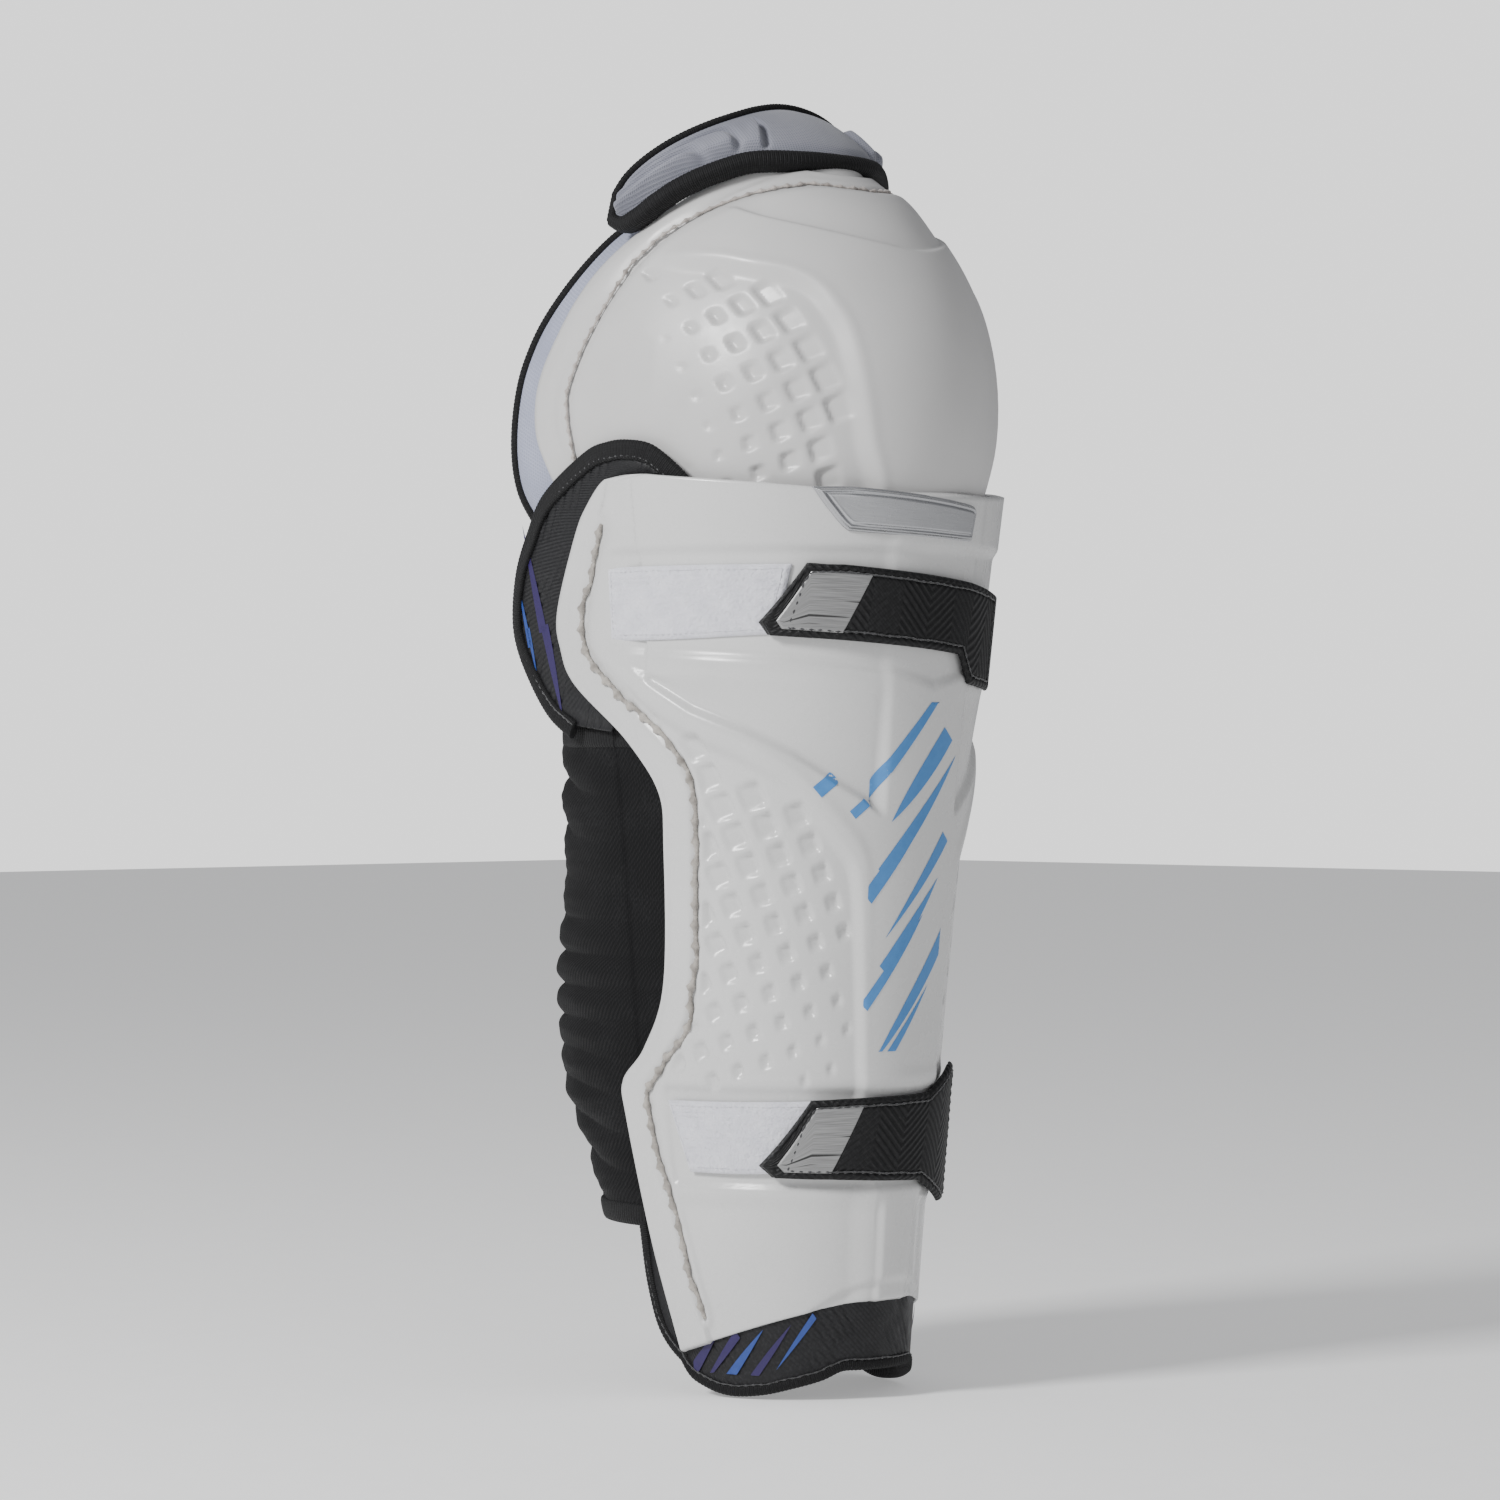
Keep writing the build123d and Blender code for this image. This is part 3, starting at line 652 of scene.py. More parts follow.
white_pile = loop_pile("white_pile", (0.80, 0.80, 0.86), (0.70, 0.70, 0.77))
for name, patch_lines in (("upper", UPPER_PATCH), ("lower", LOWER_PATCH)):
    flat = strip(*patch_lines, 61, 161)
    turn = -shin_turn(flat[..., 0], flat[..., 1])
    fuzz = np.random.default_rng(5).normal(0, 0.09, flat.shape[:2])
    gap = rim_gap(flat)
    high = -0.15 + 0.95 * smooth(gap, -0.6, 1.2) + fuzz * smooth(gap, 0.0, 1.0)
    patch = layer(f"{name}_loop_patch_pile", shin_point, turn, flat[..., 1], high, -0.5, 2)
    place(patch, "shin", "loop_white", white_pile, f"{name}_loop_patch")
    box_line = np.concatenate([flat[4, 5:-5], flat[5:-5, -6], flat[-5, -6:5:-1], flat[-5:5:-1, 5]])
    turn = -shin_turn(box_line[:, 0], box_line[:, 1])
    stitch = seam_thread(f"{name}_patch_stitch", shin_point, turn, box_line[:, 1], 0.75, 0.00016, 0.0024, 8)
    place(stitch, "shin", "loop_white", white_pile)

# ======================================================================================
# Shin liner and its three pads.  The liner is laminated foam sewn behind the shell; the pads
# are soft foam under knitted cloth, held inside it.
# ======================================================================================
LINER_EDGE = ((64, 98, 111, 123, 145, 190, 210, 226, 233, 240, 246, 258, 272),
              (9, 15, 15, 4, -7, -11.5, -11, 1, 9, 11, 6, -9, -21))
PAD_MIDDLE = 160.0
PAD_HALF = 89.0
PAD_QUILT = 29.6


def knitted_foam(name, light, dark, pitch):
    """Foam under knitted cloth: rows of small loops from two crossed waves on the flat layout, over slow
    clouds of colour, with soft sheen."""
    material, shader, add, join = node_material(name)
    at = add("UVMap").outputs["UV"]
    rows = wave(add, at, "X", pitch, 1.2, 1.0)
    crossed = arithmetic(add, "MULTIPLY", rows, wave(add, at, "Y", pitch / 0.8, 1.2, 1.0))
    cloud = noise(add, add("TexCoord").outputs["Object"], 45.0, 4.0)
    join(shader, Base_Color=shades(add, cloud, (0.3, dark), (0.7, light)),
         Roughness=shades(add, crossed, (0.1, 0.7), (0.9, 0.9)),
         Normal=bump(add, 0.5, 0.0004, crossed),
         Sheen_Weight=0.3, Sheen_Roughness=0.5, Specular_IOR_Level=0.25)
    return material


grey_foam = knitted_foam("grey_foam", (0.30, 0.31, 0.33), (0.24, 0.25, 0.27), 0.0011)
level = np.linspace(64.5, 271.5, 181)[:, None]
liner_t = np.linspace(-1, 1, 181)[None, :] * shin_turn(np.interp(level, *LINER_EDGE), level, -3.0)
liner_z = level + 0 * liner_t
level_quilt = np.abs(np.sin(liner_z * math.pi / 26)) ** 0.5
quilt = level_quilt * np.abs(np.cos(liner_t / DEGREES * math.pi / 32)) ** 0.35
liner = layer("shin_liner_foam", shin_point, liner_t, liner_z, -3.2 - 0.2 * quilt, -6.6 - 1.3 * quilt)
place(liner, "shin", "pad_grey", grey_foam, "shin_liner")
for name, low_q, high_q in (("center", -14.2, 14.2), ("lateral", -68.0, -17.8), ("medial", 17.8, 68.0)):
    v = np.linspace(-1, 1, 141)[:, None]
    u = np.linspace(-1, 1, 61)[None, :]
    pad_z = PAD_MIDDLE + PAD_HALF * v + 0 * u
    pad_t = ((low_q + high_q) / 2 + (high_q - low_q) / 2 * u) * DEGREES + 0 * v
    pillow = (1 - np.abs(u) ** 6) ** 0.5 * (1 - np.abs(v) ** 14) ** 0.5
    pillow = pillow * (1 - 0.12 * bell(v * PAD_HALF % PAD_QUILT, PAD_QUILT / 2, 2.0))
    pad = layer(f"shin_pad_{name}_cushion", shin_point, pad_t, pad_z, -10.4 + 2.2 * pillow,
                -10.5 - 2.7 * pillow, 1, 0.1)
    place(pad, "shin", "pad_grey", grey_foam, f"shin_pad_{name}")

# ======================================================================================
# Liner wings.  Black embossed cloth over thin foam, printed with purple and blue slashes,
# standing out behind the shell beside the knee; the edge is bound with ribbed tape.
# ======================================================================================
WING_EDGE = ((-30.0, 313.0), (-24.0, 319.5), (-15.0, 326.3), (-5, 328.3), (5.0, 328.0), (17.0, 325.0),
             (42.0, 312.0), (54.0, 299.5), (63.5, 286.7), (68.5, 272.0), (67.5, 261.0), (60.0, 248.0),
             (50.0, 236.5), (38.0, 229.0))
WING_ROOT = ((-32.0, 300.0), (-30.0, 290.0), (-22.0, 275.0), (-8.0, 258.0), (8.0, 243.0), (17.0, 231.0))


def embossed_cloth(name):
    """Black embossed synthetic cloth: a fine diagonal rib, a faint satin mottle and a little lint."""
    material, shader, add, join = node_material(name)
    at = add("UVMap").outputs["UV"]
    rib = wave(add, at, "DIAGONAL", 0.0009)
    cloud = noise(add, at, 160.0, 4.0)
    lint = noise(add, at, 900.0, 4.0)
    join(shader, Base_Color=shades(add, lint, (0.45, (0.005, 0.005, 0.006)), (0.75, (0.014, 0.014, 0.016))),
         Roughness=shades(add, cloud, (0.3, 0.38), (0.7, 0.58)),
         Normal=bump(add, 0.35, 0.0002, rib),
         Sheen_Weight=0.02, Specular_IOR_Level=0.35)
    return material


def ribbed_tape(name, colour):
    """Ribbed binding tape: fine ribs across its run, a dull nylon sheen and a little lint."""
    material, shader, add, join = node_material(name)
    at = add("UVMap").outputs["UV"]
    rib = wave(add, at, "X", 0.0007, 0.8)
    weft = wave(add, at, "Y", 0.0005)
    lint = noise(add, add("TexCoord").outputs["Object"], 700.0, 4.0)
    low = bump(add, 0.25, 0.0002, weft)
    join(shader, Base_Color=shades(add, lint, (0.5, colour), (0.78, tuple(1.8 * k for k in colour))),
         Roughness=shades(add, rib, (0.2, 0.75), (0.8, 0.6)),
         Normal=bump(add, 0.6, 0.0003, rib, low),
         Sheen_Weight=0.03, Specular_IOR_Level=0.22)
    return material


def tape_section(run, width, thick, rib=0.00007, pitch=0.0014):
    """Section of a folded tape: a flattened oval, with the third power in place of the square, whose surface
    rises and falls in ribs along the run.  Width and thickness may change along the run."""
    angle = np.linspace(0, 2 * math.pi, 20, endpoint=False)[None, :]
    c, s = np.cos(angle), np.sin(angle)
    r = 1 / (np.abs(c) ** 3 + np.abs(s) ** 3) ** (1 / 3)
    ripple = rib * np.cos(run * 2 * math.pi / pitch)[:, None]
    width, thick = (np.broadcast_to(np.asarray(k, float), run.shape)[:, None] for k in (width, thick))
    return np.stack([(width / 2 + ripple) * r * c, (thick / 2 + ripple) * r * s], axis=-1)


def tape(name, surface, p, q, h, width, thick):
    """Binding tape along a line on a surface: the surface point at each (p, q) and offset h."""
    path, normal = rail(surface, p, q, h, 0.00035)
    run = np.linspace(0, run_of(surface(p, q, h))[-1], len(path))
    if np.ndim(width):
        width = spread(width[:, None], len(path))[:, 0]
    return sweep(name, path, normal, tape_section(run, width, thick))


def inward_of(line, inside):
    """Unit normals of a flat line, turned towards a point inside it."""
    n = np.stack([-np.gradient(line[:, 1]), np.gradient(line[:, 0])], axis=1)
    n = n / np.linalg.norm(n, axis=1, keepdims=True)
    return n * np.sign(((np.array(inside) - line) * n).sum(axis=1, keepdims=True))


panel_cloth = embossed_cloth("panel_cloth")
purple_ink = printed_ink("purple_ink", (0.016, 0.007, 0.066), (0.020, 0.009, 0.080))
deep_blue_ink = printed_ink("deep_blue_ink", (0.018, 0.050, 0.23), (0.022, 0.060, 0.27))
black_tape = ribbed_tape("black_tape", (0.006, 0.006, 0.0065))
black_thread = waxed_thread("black_thread", (0.035, 0.035, 0.038), (0.015, 0.015, 0.016))
WING_PRINTS = (("purple", purple_ink, (53, 45), (284, 251), (19, 17), (2.3, 2.3)),
               ("blue", deep_blue_ink, (60.5, 57.0), (271, 258), (11, 9), (1.2, 1.0)))
edge = curve(WING_EDGE, 300)
inward = inward_of(edge, (10.0, 275.0))
for name, side in (("lateral", -1), ("medial", 1)):
    flat = strip(edge[::12] + 1.6 * inward[::12], WING_ROOT, 121, 301)
    x, z = flat[..., 0], flat[..., 1]
    turn = side * shin_turn(x, z, -3.0)
    ribs = np.sin((x * 0.8 + z * 0.55 + 2.2 * np.sin(z * 0.09)) * 2 * math.pi / 3.2)
    deep = smooth(np.sin(x * 0.21 + z * 0.33) + 0.6 * np.sin(z * 0.17 - x * 0.3), -0.1, 0.5)
    outside = smooth(beside(x, z, curve(SHELL_EDGE, 60)), -1.0, 3.0)
    high = -3.5 - 0.32 * smooth(ribs, 0.0, 0.8) * deep + 0.55 * outside * smooth(rim_gap(flat), 1.0, 6.0)
    wing = layer(f"liner_wing_{name}_cloth", shin_point, turn, z, high, -4.8, 2)
    place(wing, "shin", "liner_black", panel_cloth, f"liner_wing_{name}")
    for ink, look, x, z, half_long, half_wide in WING_PRINTS:
        print_piece = strokes(f"wing_{ink}_print_{name}",
                              lambda y, z: shin_point(side * shin_turn(y, z, -3.0), z, -2.85),
                              x, z, half_long, half_wide, 79 * DEGREES, (1.6, -1.8),
                              (-20.0, 66.0, 236.0, 316.0), side < 0)
        place(print_piece, "shin", "liner_black", look)
    line = edge + 2.6 * inward
    turn = side * shin_turn(line[:, 0], line[:, 1], -3.0)
    roll = tape(f"wing_binding_{name}_tape", shin_point, turn, line[:, 1], -3.35, 0.0068, 0.0028)
    place(roll, "shin", "binding_black", black_tape, f"wing_binding_{name}")
    line = edge + 4.8 * inward
    turn = side * shin_turn(line[:, 0], line[:, 1], -3.0)
    stitch = seam_thread(f"wing_stitch_{name}", shin_point, turn, line[:, 1], -2.0, 0.00022, 0.0028, 21)
    place(stitch, "shin", "binding_black", black_thread)

# ======================================================================================
# Ankle panel.  The liner's lower end, which shows below the shell: the same printed cloth
# over foam, with a thick bound hem that dips behind and rises at the front.
# ======================================================================================
HEM = ((0, 14.6), (14, 14.6), (23.8, 14.3), (33, 11.2), (44.2, 8.6), (57, 6.0), (70, 5.2), (80, 7.4),
       (87.3, 11.4), (93.2, 22), (95.7, 38.6), (96.8, 60))
hem = curve(HEM, 200)
q = np.linspace(-95.6, 95.6, 321)[None, :]
low = np.interp(np.abs(q), hem[:, 0], hem[:, 1]) + 2.0
v = np.linspace(0, 1, 81)[:, None]
panel_t, panel_z = q * DEGREES + 0 * v, low + (63.5 - low) * v
ribs = np.sin((q * 1.0 + panel_z * 0.8) * 2 * math.pi / 4.0)
deep = smooth(np.sin(q * 0.16) + 0.6 * np.sin(panel_z * 0.3 + q * 0.07), 0.0, 0.6)
high = -3.25 - 0.3 * smooth(ribs, 0.0, 0.8) * deep
panel = layer("ankle_panel_cloth", shin_point, panel_t, panel_z, high, -6.8)
place(panel, "shin", "liner_black", panel_cloth, "ankle_panel")
ANKLE_PRINTS = (("purple", purple_ink, (-96, -88, -63), (19, 17, 21), (2.4, 1.7, 1.5)),
                ("blue", deep_blue_ink, (-76, -52), (19, 24), (1.9, 1.3)))
for name, side in (("lateral", -1), ("medial", 1)):
    for ink, look, x, z, half_wide in ANKLE_PRINTS:
        print_piece = strokes(f"ankle_{ink}_print_{name}",
                              lambda x, z: shin_point(-side * x / FLAT_PER_DEGREE * DEGREES, z, -2.75), x, z,
                              [13.0] * len(x), half_wide, 46 * DEGREES, (1.8, -1.6, 2.2)[:len(x)],
                              (-102.0, -40.0, 12.5, 45.0), side > 0)
        place(print_piece, "shin", "liner_black", look)
around = np.concatenate([hem[::-1] * np.array([-1, 1]), hem[1:]])
roll = tape("ankle_binding_tape", shin_point, around[:, 0] * DEGREES, around[:, 1] + 1.9, -4.9, 0.0044,
            0.0050)
place(roll, "shin", "binding_black", black_tape, "ankle_binding")
stitch = seam_thread("ankle_stitch", shin_point, around[20:-20, 0] * DEGREES, around[20:-20, 1] + 3.6, -2.55,
                     0.00022, 0.0028, 22)
place(stitch, "shin", "binding_black", black_thread)

# ======================================================================================
# Knee cap.  A deep pressed cup of the same white polyethylene with a satin face: a rolled
# lip, a stitch groove, a creased upper facet, and a dimpled field beside a swept ridge.
# ======================================================================================
KNEE_HALF_WIDTH = 69.0
KNEE_FRONT = 91.2
KNEE_BACK = 140.0
KNEE_HALF_HEIGHT = 95.0
KNEE_Y = 4.0
KNEE_Z = 338.0
CAP_WALL = 3.0
CAP_DIMPLE = (58.0, 30.1)
CAP_DIMPLE_EDGE = ((-25, -10, 6, 16, 33, 41, 50), (30, 35, 37.7, 39, 42, 46, 56))
CAP_RIM = ((28.0, 302.0), (36, 310), (42.5, 321), (48.0, 332.0), (49.0, 343.0), (47, 353), (41.0, 365.0),
           (26.0, 388.0), (6.5, 405.3), (-11.5, 419.0), (-19, 423.5), (-25.5, 425.6))
CAP_SEAM = ((0, 54.6), (14, 55.2), (32.6, 56), (55, 52.7), (73, 47), (84.7, 41), (91.7, 34.5), (94.7, 26),
            (96.5, 21), (98.8, 13.8), (100.6, 7.4), (101, 2.4), (99.6, -7.6), (97, -20))
CAP_CREASE = ((62, 46.6), (56, 44.8), (47, 42.5), (25, 38), (8, 35.4), (0, 34.8))
CAP_RIDGE = ((90, 35), (76.7, 33.7), (64.5, 32.6), (56, 31), (45, 29), (38, 25.6), (33.4, 20.3), (30.9, 16),
             (29.2, 9.7), (28.0, 3.6), (26, -6.4), (22.7, -14.4), (19, -28))


def knee_point(t, f, h):
    """Point of the knee surface, two half ellipsoids: x = (half width + h) cos f sin t, y = centre - (depth
    + h) cos f cos t, z = centre + (half height + h) sin f.  The depth is larger behind."""
    d = np.where(np.cos(t) > 0, KNEE_FRONT, KNEE_BACK)
    return np.stack([(KNEE_HALF_WIDTH + h) * np.cos(f) * np.sin(t), KNEE_Y - (d + h) * np.cos(f) * np.cos(t),
                     KNEE_Z + (KNEE_HALF_HEIGHT + h) * np.sin(f)], axis=-1) * MM


def knee_angles(y, z, h=0.0):
    """Angles (t, f) where the knee surface at offset h has this y and z."""
    f = np.arcsin(np.clip((z - KNEE_Z) / (KNEE_HALF_HEIGHT + h), -1, 1))
    d = np.where(y < KNEE_Y, KNEE_FRONT, KNEE_BACK) + h
    return np.arccos(np.clip((KNEE_Y - y) / (d * np.cos(f)), -1, 1)), f


def knee_flat(q, f):
    """Flat layout of knee angles in degrees: 1.35 q cos f across and 1.62 f up, in millimetres."""
    return 1.35 * q * np.cos(f * DEGREES), 1.62 * f


def knee_line(points, count=80):
    """A line given in knee degrees, laid out flat."""
    line = curve(points, count)
    return np.stack(knee_flat(line[:, 0], line[:, 1]), axis=1)


def cap_relief(t, f, edge_gap):
    """Height of the pressed cap over its plain surface, in millimetres: a front plane standing over the
    dimpled field, an upper facet set back, and the lip with two soft grooves outside the stitches."""
    q, rise = np.abs(t / DEGREES), f / DEGREES
    x, y = knee_flat(q, rise)
    seam_gap = -beside(x, y, knee_line(CAP_SEAM))
    ridge_gap = beside(x, y, knee_line(CAP_RIDGE))
    crease_gap = -beside(x, y, knee_line(CAP_CREASE))
    height = 1.6 - 2.7 * smooth(ridge_gap, -1.2, 6.0) * smooth(92 - q, 0, 22)
    height = height + 0.3 * bell(ridge_gap, -1.5, 2.2) * smooth(80 - q, 0, 15)
    height = height - 0.6 * smooth(q, 70, 92)
    facet = smooth(crease_gap, -0.6, 1.6) * smooth(70 - q, 0, 20)
    height = height - facet * (1.7 - 1.4 * smooth(crease_gap, 2, 22))
    start_x, start_y = CAP_DIMPLE

    def half_at(mid_x, mid_y):
        """Half size of a dimple: 4.8 beside the ridge, falling evenly towards the back."""
        at_x, at_y = mid_x + start_x, mid_y + start_y
        away = beside(at_x, at_y, knee_line(CAP_RIDGE, 18))
        size = 5.0 - 0.068 * (at_x - np.interp(at_y, *CAP_DIMPLE_EDGE) - 6.0)
        keep = (away > 7.0) & (at_x < 104) & (at_y > -27)
        return np.where(keep, np.clip(size, 0.8, 4.8), 0.0)

    dimples = pits(x - start_x, y - start_y, (9.6, -3.8), (-4.2, -9.9), half_at)
    height = height - 1.7 * dimples * smooth(seam_gap, 3.0, 6.0)
    under = smooth(q, 40, 66) * smooth(26 - rise, 0, 12)
    height = np.minimum(height, 3.4 - 3.6 * under)
    lip = 1 - smooth(seam_gap, 0.5, 6.0)
    height = height * (1 - lip) + (0.1 - 0.3 * under) * lip
    height = height - 1.15 * bell(seam_gap, 0.0, 1.4)
    rim = smooth(y, -34, -26)
    height = height + rim * (0.75 * (1 - under) * bell(edge_gap, 2.2, 2.0) - 0.8 * bell(edge_gap, 6.0, 1.5))
    return height + rim * 0.35 * (1 - under) * bell(edge_gap, 9.5, 1.8)


def cup_grid(rim_points, rows, columns, h, low, high):
    """Angles of a cup's grid: rows run from rim to rim across the front, where they start level between low
    and high degrees and bow, with the square of the share across, to end on the rim."""
    rim = curve(rim_points, rows)
    rim_t, rim_f = knee_angles(rim[:, 0], rim[:, 1], h)
    u = np.linspace(-1, 1, columns)[None, :]
    middle_f = np.linspace(low, high, rows)[:, None] * DEGREES
    return u * rim_t[:, None], middle_f + (rim_f[:, None] - middle_f) * u * u


cap_t, cap_f = cup_grid(CAP_RIM, 193, 273, 0.0, -34.6, 65.2)
cap_x, cap_y = knee_flat(np.abs(cap_t) / DEGREES, cap_f / DEGREES)
edge_line = np.stack([cap_x[:, -1], cap_y[:, -1]], axis=1)[::3]
edge_line = np.concatenate([edge_line, np.stack([cap_x[-1, :135:-6], cap_y[-1, :135:-6]], axis=1)])
relief = cap_relief(cap_t, cap_f, np.abs(beside(cap_x, cap_y, edge_line)))
cap = layer("knee_cap_moulded", knee_point, cap_t, cap_f, relief, np.minimum(relief - 0.8, -CAP_WALL), 2)
cap_plastic = moulded_plastic("cap_plastic", (0.58, 0.575, 0.57), (0.54, 0.535, 0.53), 0.36, 0.12)
place(cap, "knee", "cap_white", cap_plastic, "knee_cap_shell")
fine_thread = waxed_thread("fine_thread", (0.47, 0.43, 0.40), (0.26, 0.23, 0.21))
line = curve(CAP_SEAM, 400)
for name, side in (("lateral", -1), ("medial", 1)):
    turn, rise = side * line[:, 0] * DEGREES, line[:, 1] * DEGREES
    thread = seam_thread(f"cap_seam_{name}", knee_point, turn, rise, -0.25, 0.00056, 0.0046, 31 + side)
    place(thread, "knee", "cap_white", fine_thread)

# ======================================================================================
# Knee cup liner and ring pad.  Laminated foam glued inside the cap, with a soft ring that
# sits round the kneecap of the wearer.
# ======================================================================================
CUP_RIM = ((22, 300), (30, 308), (35, 320), (34.0, 350.0), (22.0, 380.0), (2.0, 402.0), (-12.0, 413.0),
           (-28, 418.5))
RING_RADIUS = 25.0
RING_DEPTH = 8.0
cup_t, cup_f = cup_grid(CUP_RIM, 141, 161, -3.0, -37.5, 60.0)
level_quilt = np.abs(np.sin(cup_f / DEGREES * math.pi / 17)) ** 0.5
quilt = level_quilt * np.abs(np.cos(cup_t / DEGREES * math.pi / 30)) ** 0.4
cup = layer("knee_cup_foam", knee_point, cup_t, cup_f, -3.3, -6.8 - 1.1 * quilt)
place(cup, "knee", "pad_grey", grey_foam, "knee_cup_liner")
angle = np.linspace(0, 2 * math.pi, 97)[None, :]
radius = RING_RADIUS + np.linspace(-8.2, 8.2, 21)[:, None]
ring_x, ring_z = radius * np.cos(angle), radius * np.sin(angle)
ring_f = np.arcsin(ring_z / (KNEE_HALF_HEIGHT - RING_DEPTH))
ring_t = np.arcsin(np.clip(ring_x / ((KNEE_HALF_WIDTH - RING_DEPTH) * np.cos(ring_f)), -1, 1))
swell = np.sqrt(np.clip(1 - ((radius - RING_RADIUS) / 8.4) ** 2, 0, 1)) + 0 * angle
ring = layer("knee_ring_cushion", knee_point, ring_t, ring_f, -9.8 + 1.5 * swell, -10.0 - 2.6 * swell,
             1, 0.0)
place(ring, "knee", "pad_grey", grey_foam, "knee_ring_pad")

# ======================================================================================
# Knee wings.  Lavender-grey woven cloth over foam, sewn behind the cap on both sides and
# bound in black tape, which wrap the sides of the knee.
# ======================================================================================
KNEE_EDGE = ((14.0, 415.0), (22.5, 410.3), (36.0, 401.0), (55.5, 377.6), (64, 363), (68.5, 350.0),
             (71.5, 330.0), (70.5, 315.5), (64.5, 305.0), (57.0, 296.5))
KNEE_ROOT = ((-4, 402), (8, 392), (18, 378), (28.0, 360.0), (33.0, 340.0), (34.0, 325.0), (34, 312),
             (36.0, 298.0))


def woven_cloth(name, light, dark, pitch, strength, rough=0.8):
    """Plain woven cloth: warp and weft as two crossed waves on the flat layout; raised threads are painted
    lighter and the gaps between them darker as painted shade, the dye drifts in slow clouds, and the fibres
    give a soft sheen."""
    material, shader, add, join = node_material(name)
    at = add("UVMap").outputs["UV"]
    turned = add("Mapping", Vector=at, Rotation=(0, 0, 0.12)).outputs["Vector"]
    warp = wave(add, turned, "X", pitch, 0.6, 1.0)
    over = arithmetic(add, "MAXIMUM", warp, wave(add, turned, "Y", pitch, 0.6, 1.0))
    cloud = noise(add, add("TexCoord").outputs["Object"], 50.0, 5.0)
    # Base colour: painted shade in the gaps between the raised threads, times the slow dye clouds.
    dye_and_gap_shade = arithmetic(add, "MULTIPLY", over, cloud)
    join(shader, Base_Color=shades(add, dye_and_gap_shade, (0.25, dark), (0.6, light)),
         Roughness=shades(add, over, (0.2, rough + 0.1), (0.9, rough - 0.08)),
         Normal=bump(add, strength, 0.0003, over),
         Sheen_Weight=0.25, Sheen_Roughness=0.45, Specular_IOR_Level=0.3)
    return material


wing_cloth = woven_cloth("wing_cloth", (0.37, 0.39, 0.50), (0.29, 0.31, 0.41), 0.0013, 0.5)
edge = curve(KNEE_EDGE, 240)
inward = inward_of(edge, (20.0, 350.0))
for name, side in (("lateral", -1), ("medial", 1)):
    flat = strip(edge[::8] + 1.5 * inward[::8], KNEE_ROOT, 61, 161)
    turn, rise = knee_angles(flat[..., 0], flat[..., 1], -4.4)
    puff = smooth(rim_gap(flat), 0.0, 7.0)
    wing = layer(f"knee_wing_{name}_cloth", knee_point, side * turn, rise, -5.4 + 0.9 * puff,
                 -6.6 - 1.6 * puff)
    place(wing, "knee", "wing_grey", wing_cloth, f"knee_wing_{name}")
    line = edge + 1.6 * inward
    turn, rise = knee_angles(line[:, 0], line[:, 1], -6.0)
    roll = tape(f"knee_binding_{name}_tape", knee_point, side * turn, rise, -6.2, 0.0042, 0.0042)
    place(roll, "knee", "binding_black", black_tape, f"knee_binding_{name}")

# ======================================================================================
# Thigh pad.  A small curved plate between cloth and foam, hinged above the knee cap; the
# mesh-cloth cover is heat-formed in three stepped lobes at each end and bound in black tape.
# ======================================================================================
THIGH_LOW = ((0, 32.4), (20, 32.6), (41, 32.0), (55, 27.6), (68, 21.5), (78, 15), (86, 9.2), (93, 6.6),
             (98.5, 8.6))
THIGH_HIGH = ((0, 67.7), (18, 66.2), (36.4, 61.9), (52, 55.6), (66.7, 48.4), (80, 40), (90, 31.5),
              (96, 24.5), (99.0, 17.5))
LOBES = ((36.0, 0.76, 2.5), (48.0, 0.54, 2.4), (60.0, 0.33, 2.2))
LOBE_ROUND = 9.0
THIGH_RADII = (56.0, 58.0, 51.0)
THIGH_Y = 13.0
THIGH_Z = 400.0


def thigh_point(t, f, h):
    """Point of the thigh surface, an ellipsoid whose radii all grow by h."""
    a, b, c = THIGH_RADII
    return np.stack([(a + h) * np.cos(f) * np.sin(t), THIGH_Y - (b + h) * np.cos(f) * np.cos(t),
                     THIGH_Z + (c + h) * np.sin(f)], axis=-1) * MM


def dress(node_name, material):
    """Gives a CAD node that is shown as it is a material of its own."""
    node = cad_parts[node_name]
    node.data.materials.clear()
    node.data.materials.append(material)


low, high = curve(THIGH_LOW, 161), curve(THIGH_HIGH, 161)
low = np.concatenate([low[:0:-1] * np.array([-1, 1]), low])
high = np.concatenate([high[:0:-1] * np.array([-1, 1]), high])
v = np.linspace(0, 1, 121)[:, None, None]
pad = low[None] * (1 - v) + high[None] * v
q, f = np.abs(pad[..., 0]), pad[..., 1]
share = v[..., 0] + 0 * q
raised = 0 * q
for start_q, top, rise in LOBES:
    in_q = (q - start_q) * 0.9
    in_v = (top - share) * (f[-1] - f[0])[None] * 0.95
    inside = LOBE_ROUND - np.hypot(np.minimum(in_q - LOBE_ROUND, 0), np.minimum(in_v - LOBE_ROUND, 0))
    raised = raised + rise * (smooth(inside, -0.3, 2.2) - 0.25 * smooth(inside, 3.0, 9.0))
    raised = raised - 1.4 * bell(inside, -1.0, 1.3)
hold = smooth(rim_gap(pad), 1.5, 6.5)
raised = raised * hold + 0.6 * hold
cover = layer("thigh_cover_cloth", thigh_point, pad[..., 0] * DEGREES, f * DEGREES, raised - 0.5, -2.0, 2)
mesh_cloth = woven_cloth("thigh_mesh_cloth", (0.27, 0.275, 0.32), (0.19, 0.195, 0.235), 0.00095, 0.5, 0.78)
place(cover, "thigh", "thigh_grey", mesh_cloth, "thigh_cover")
plate_plastic = moulded_plastic("plate_plastic", (0.12, 0.12, 0.13), (0.09, 0.09, 0.10), 0.5, 0.2)
dress("thigh_plate", plate_plastic)
foam_flat = pad[::2, 8:-8:2]
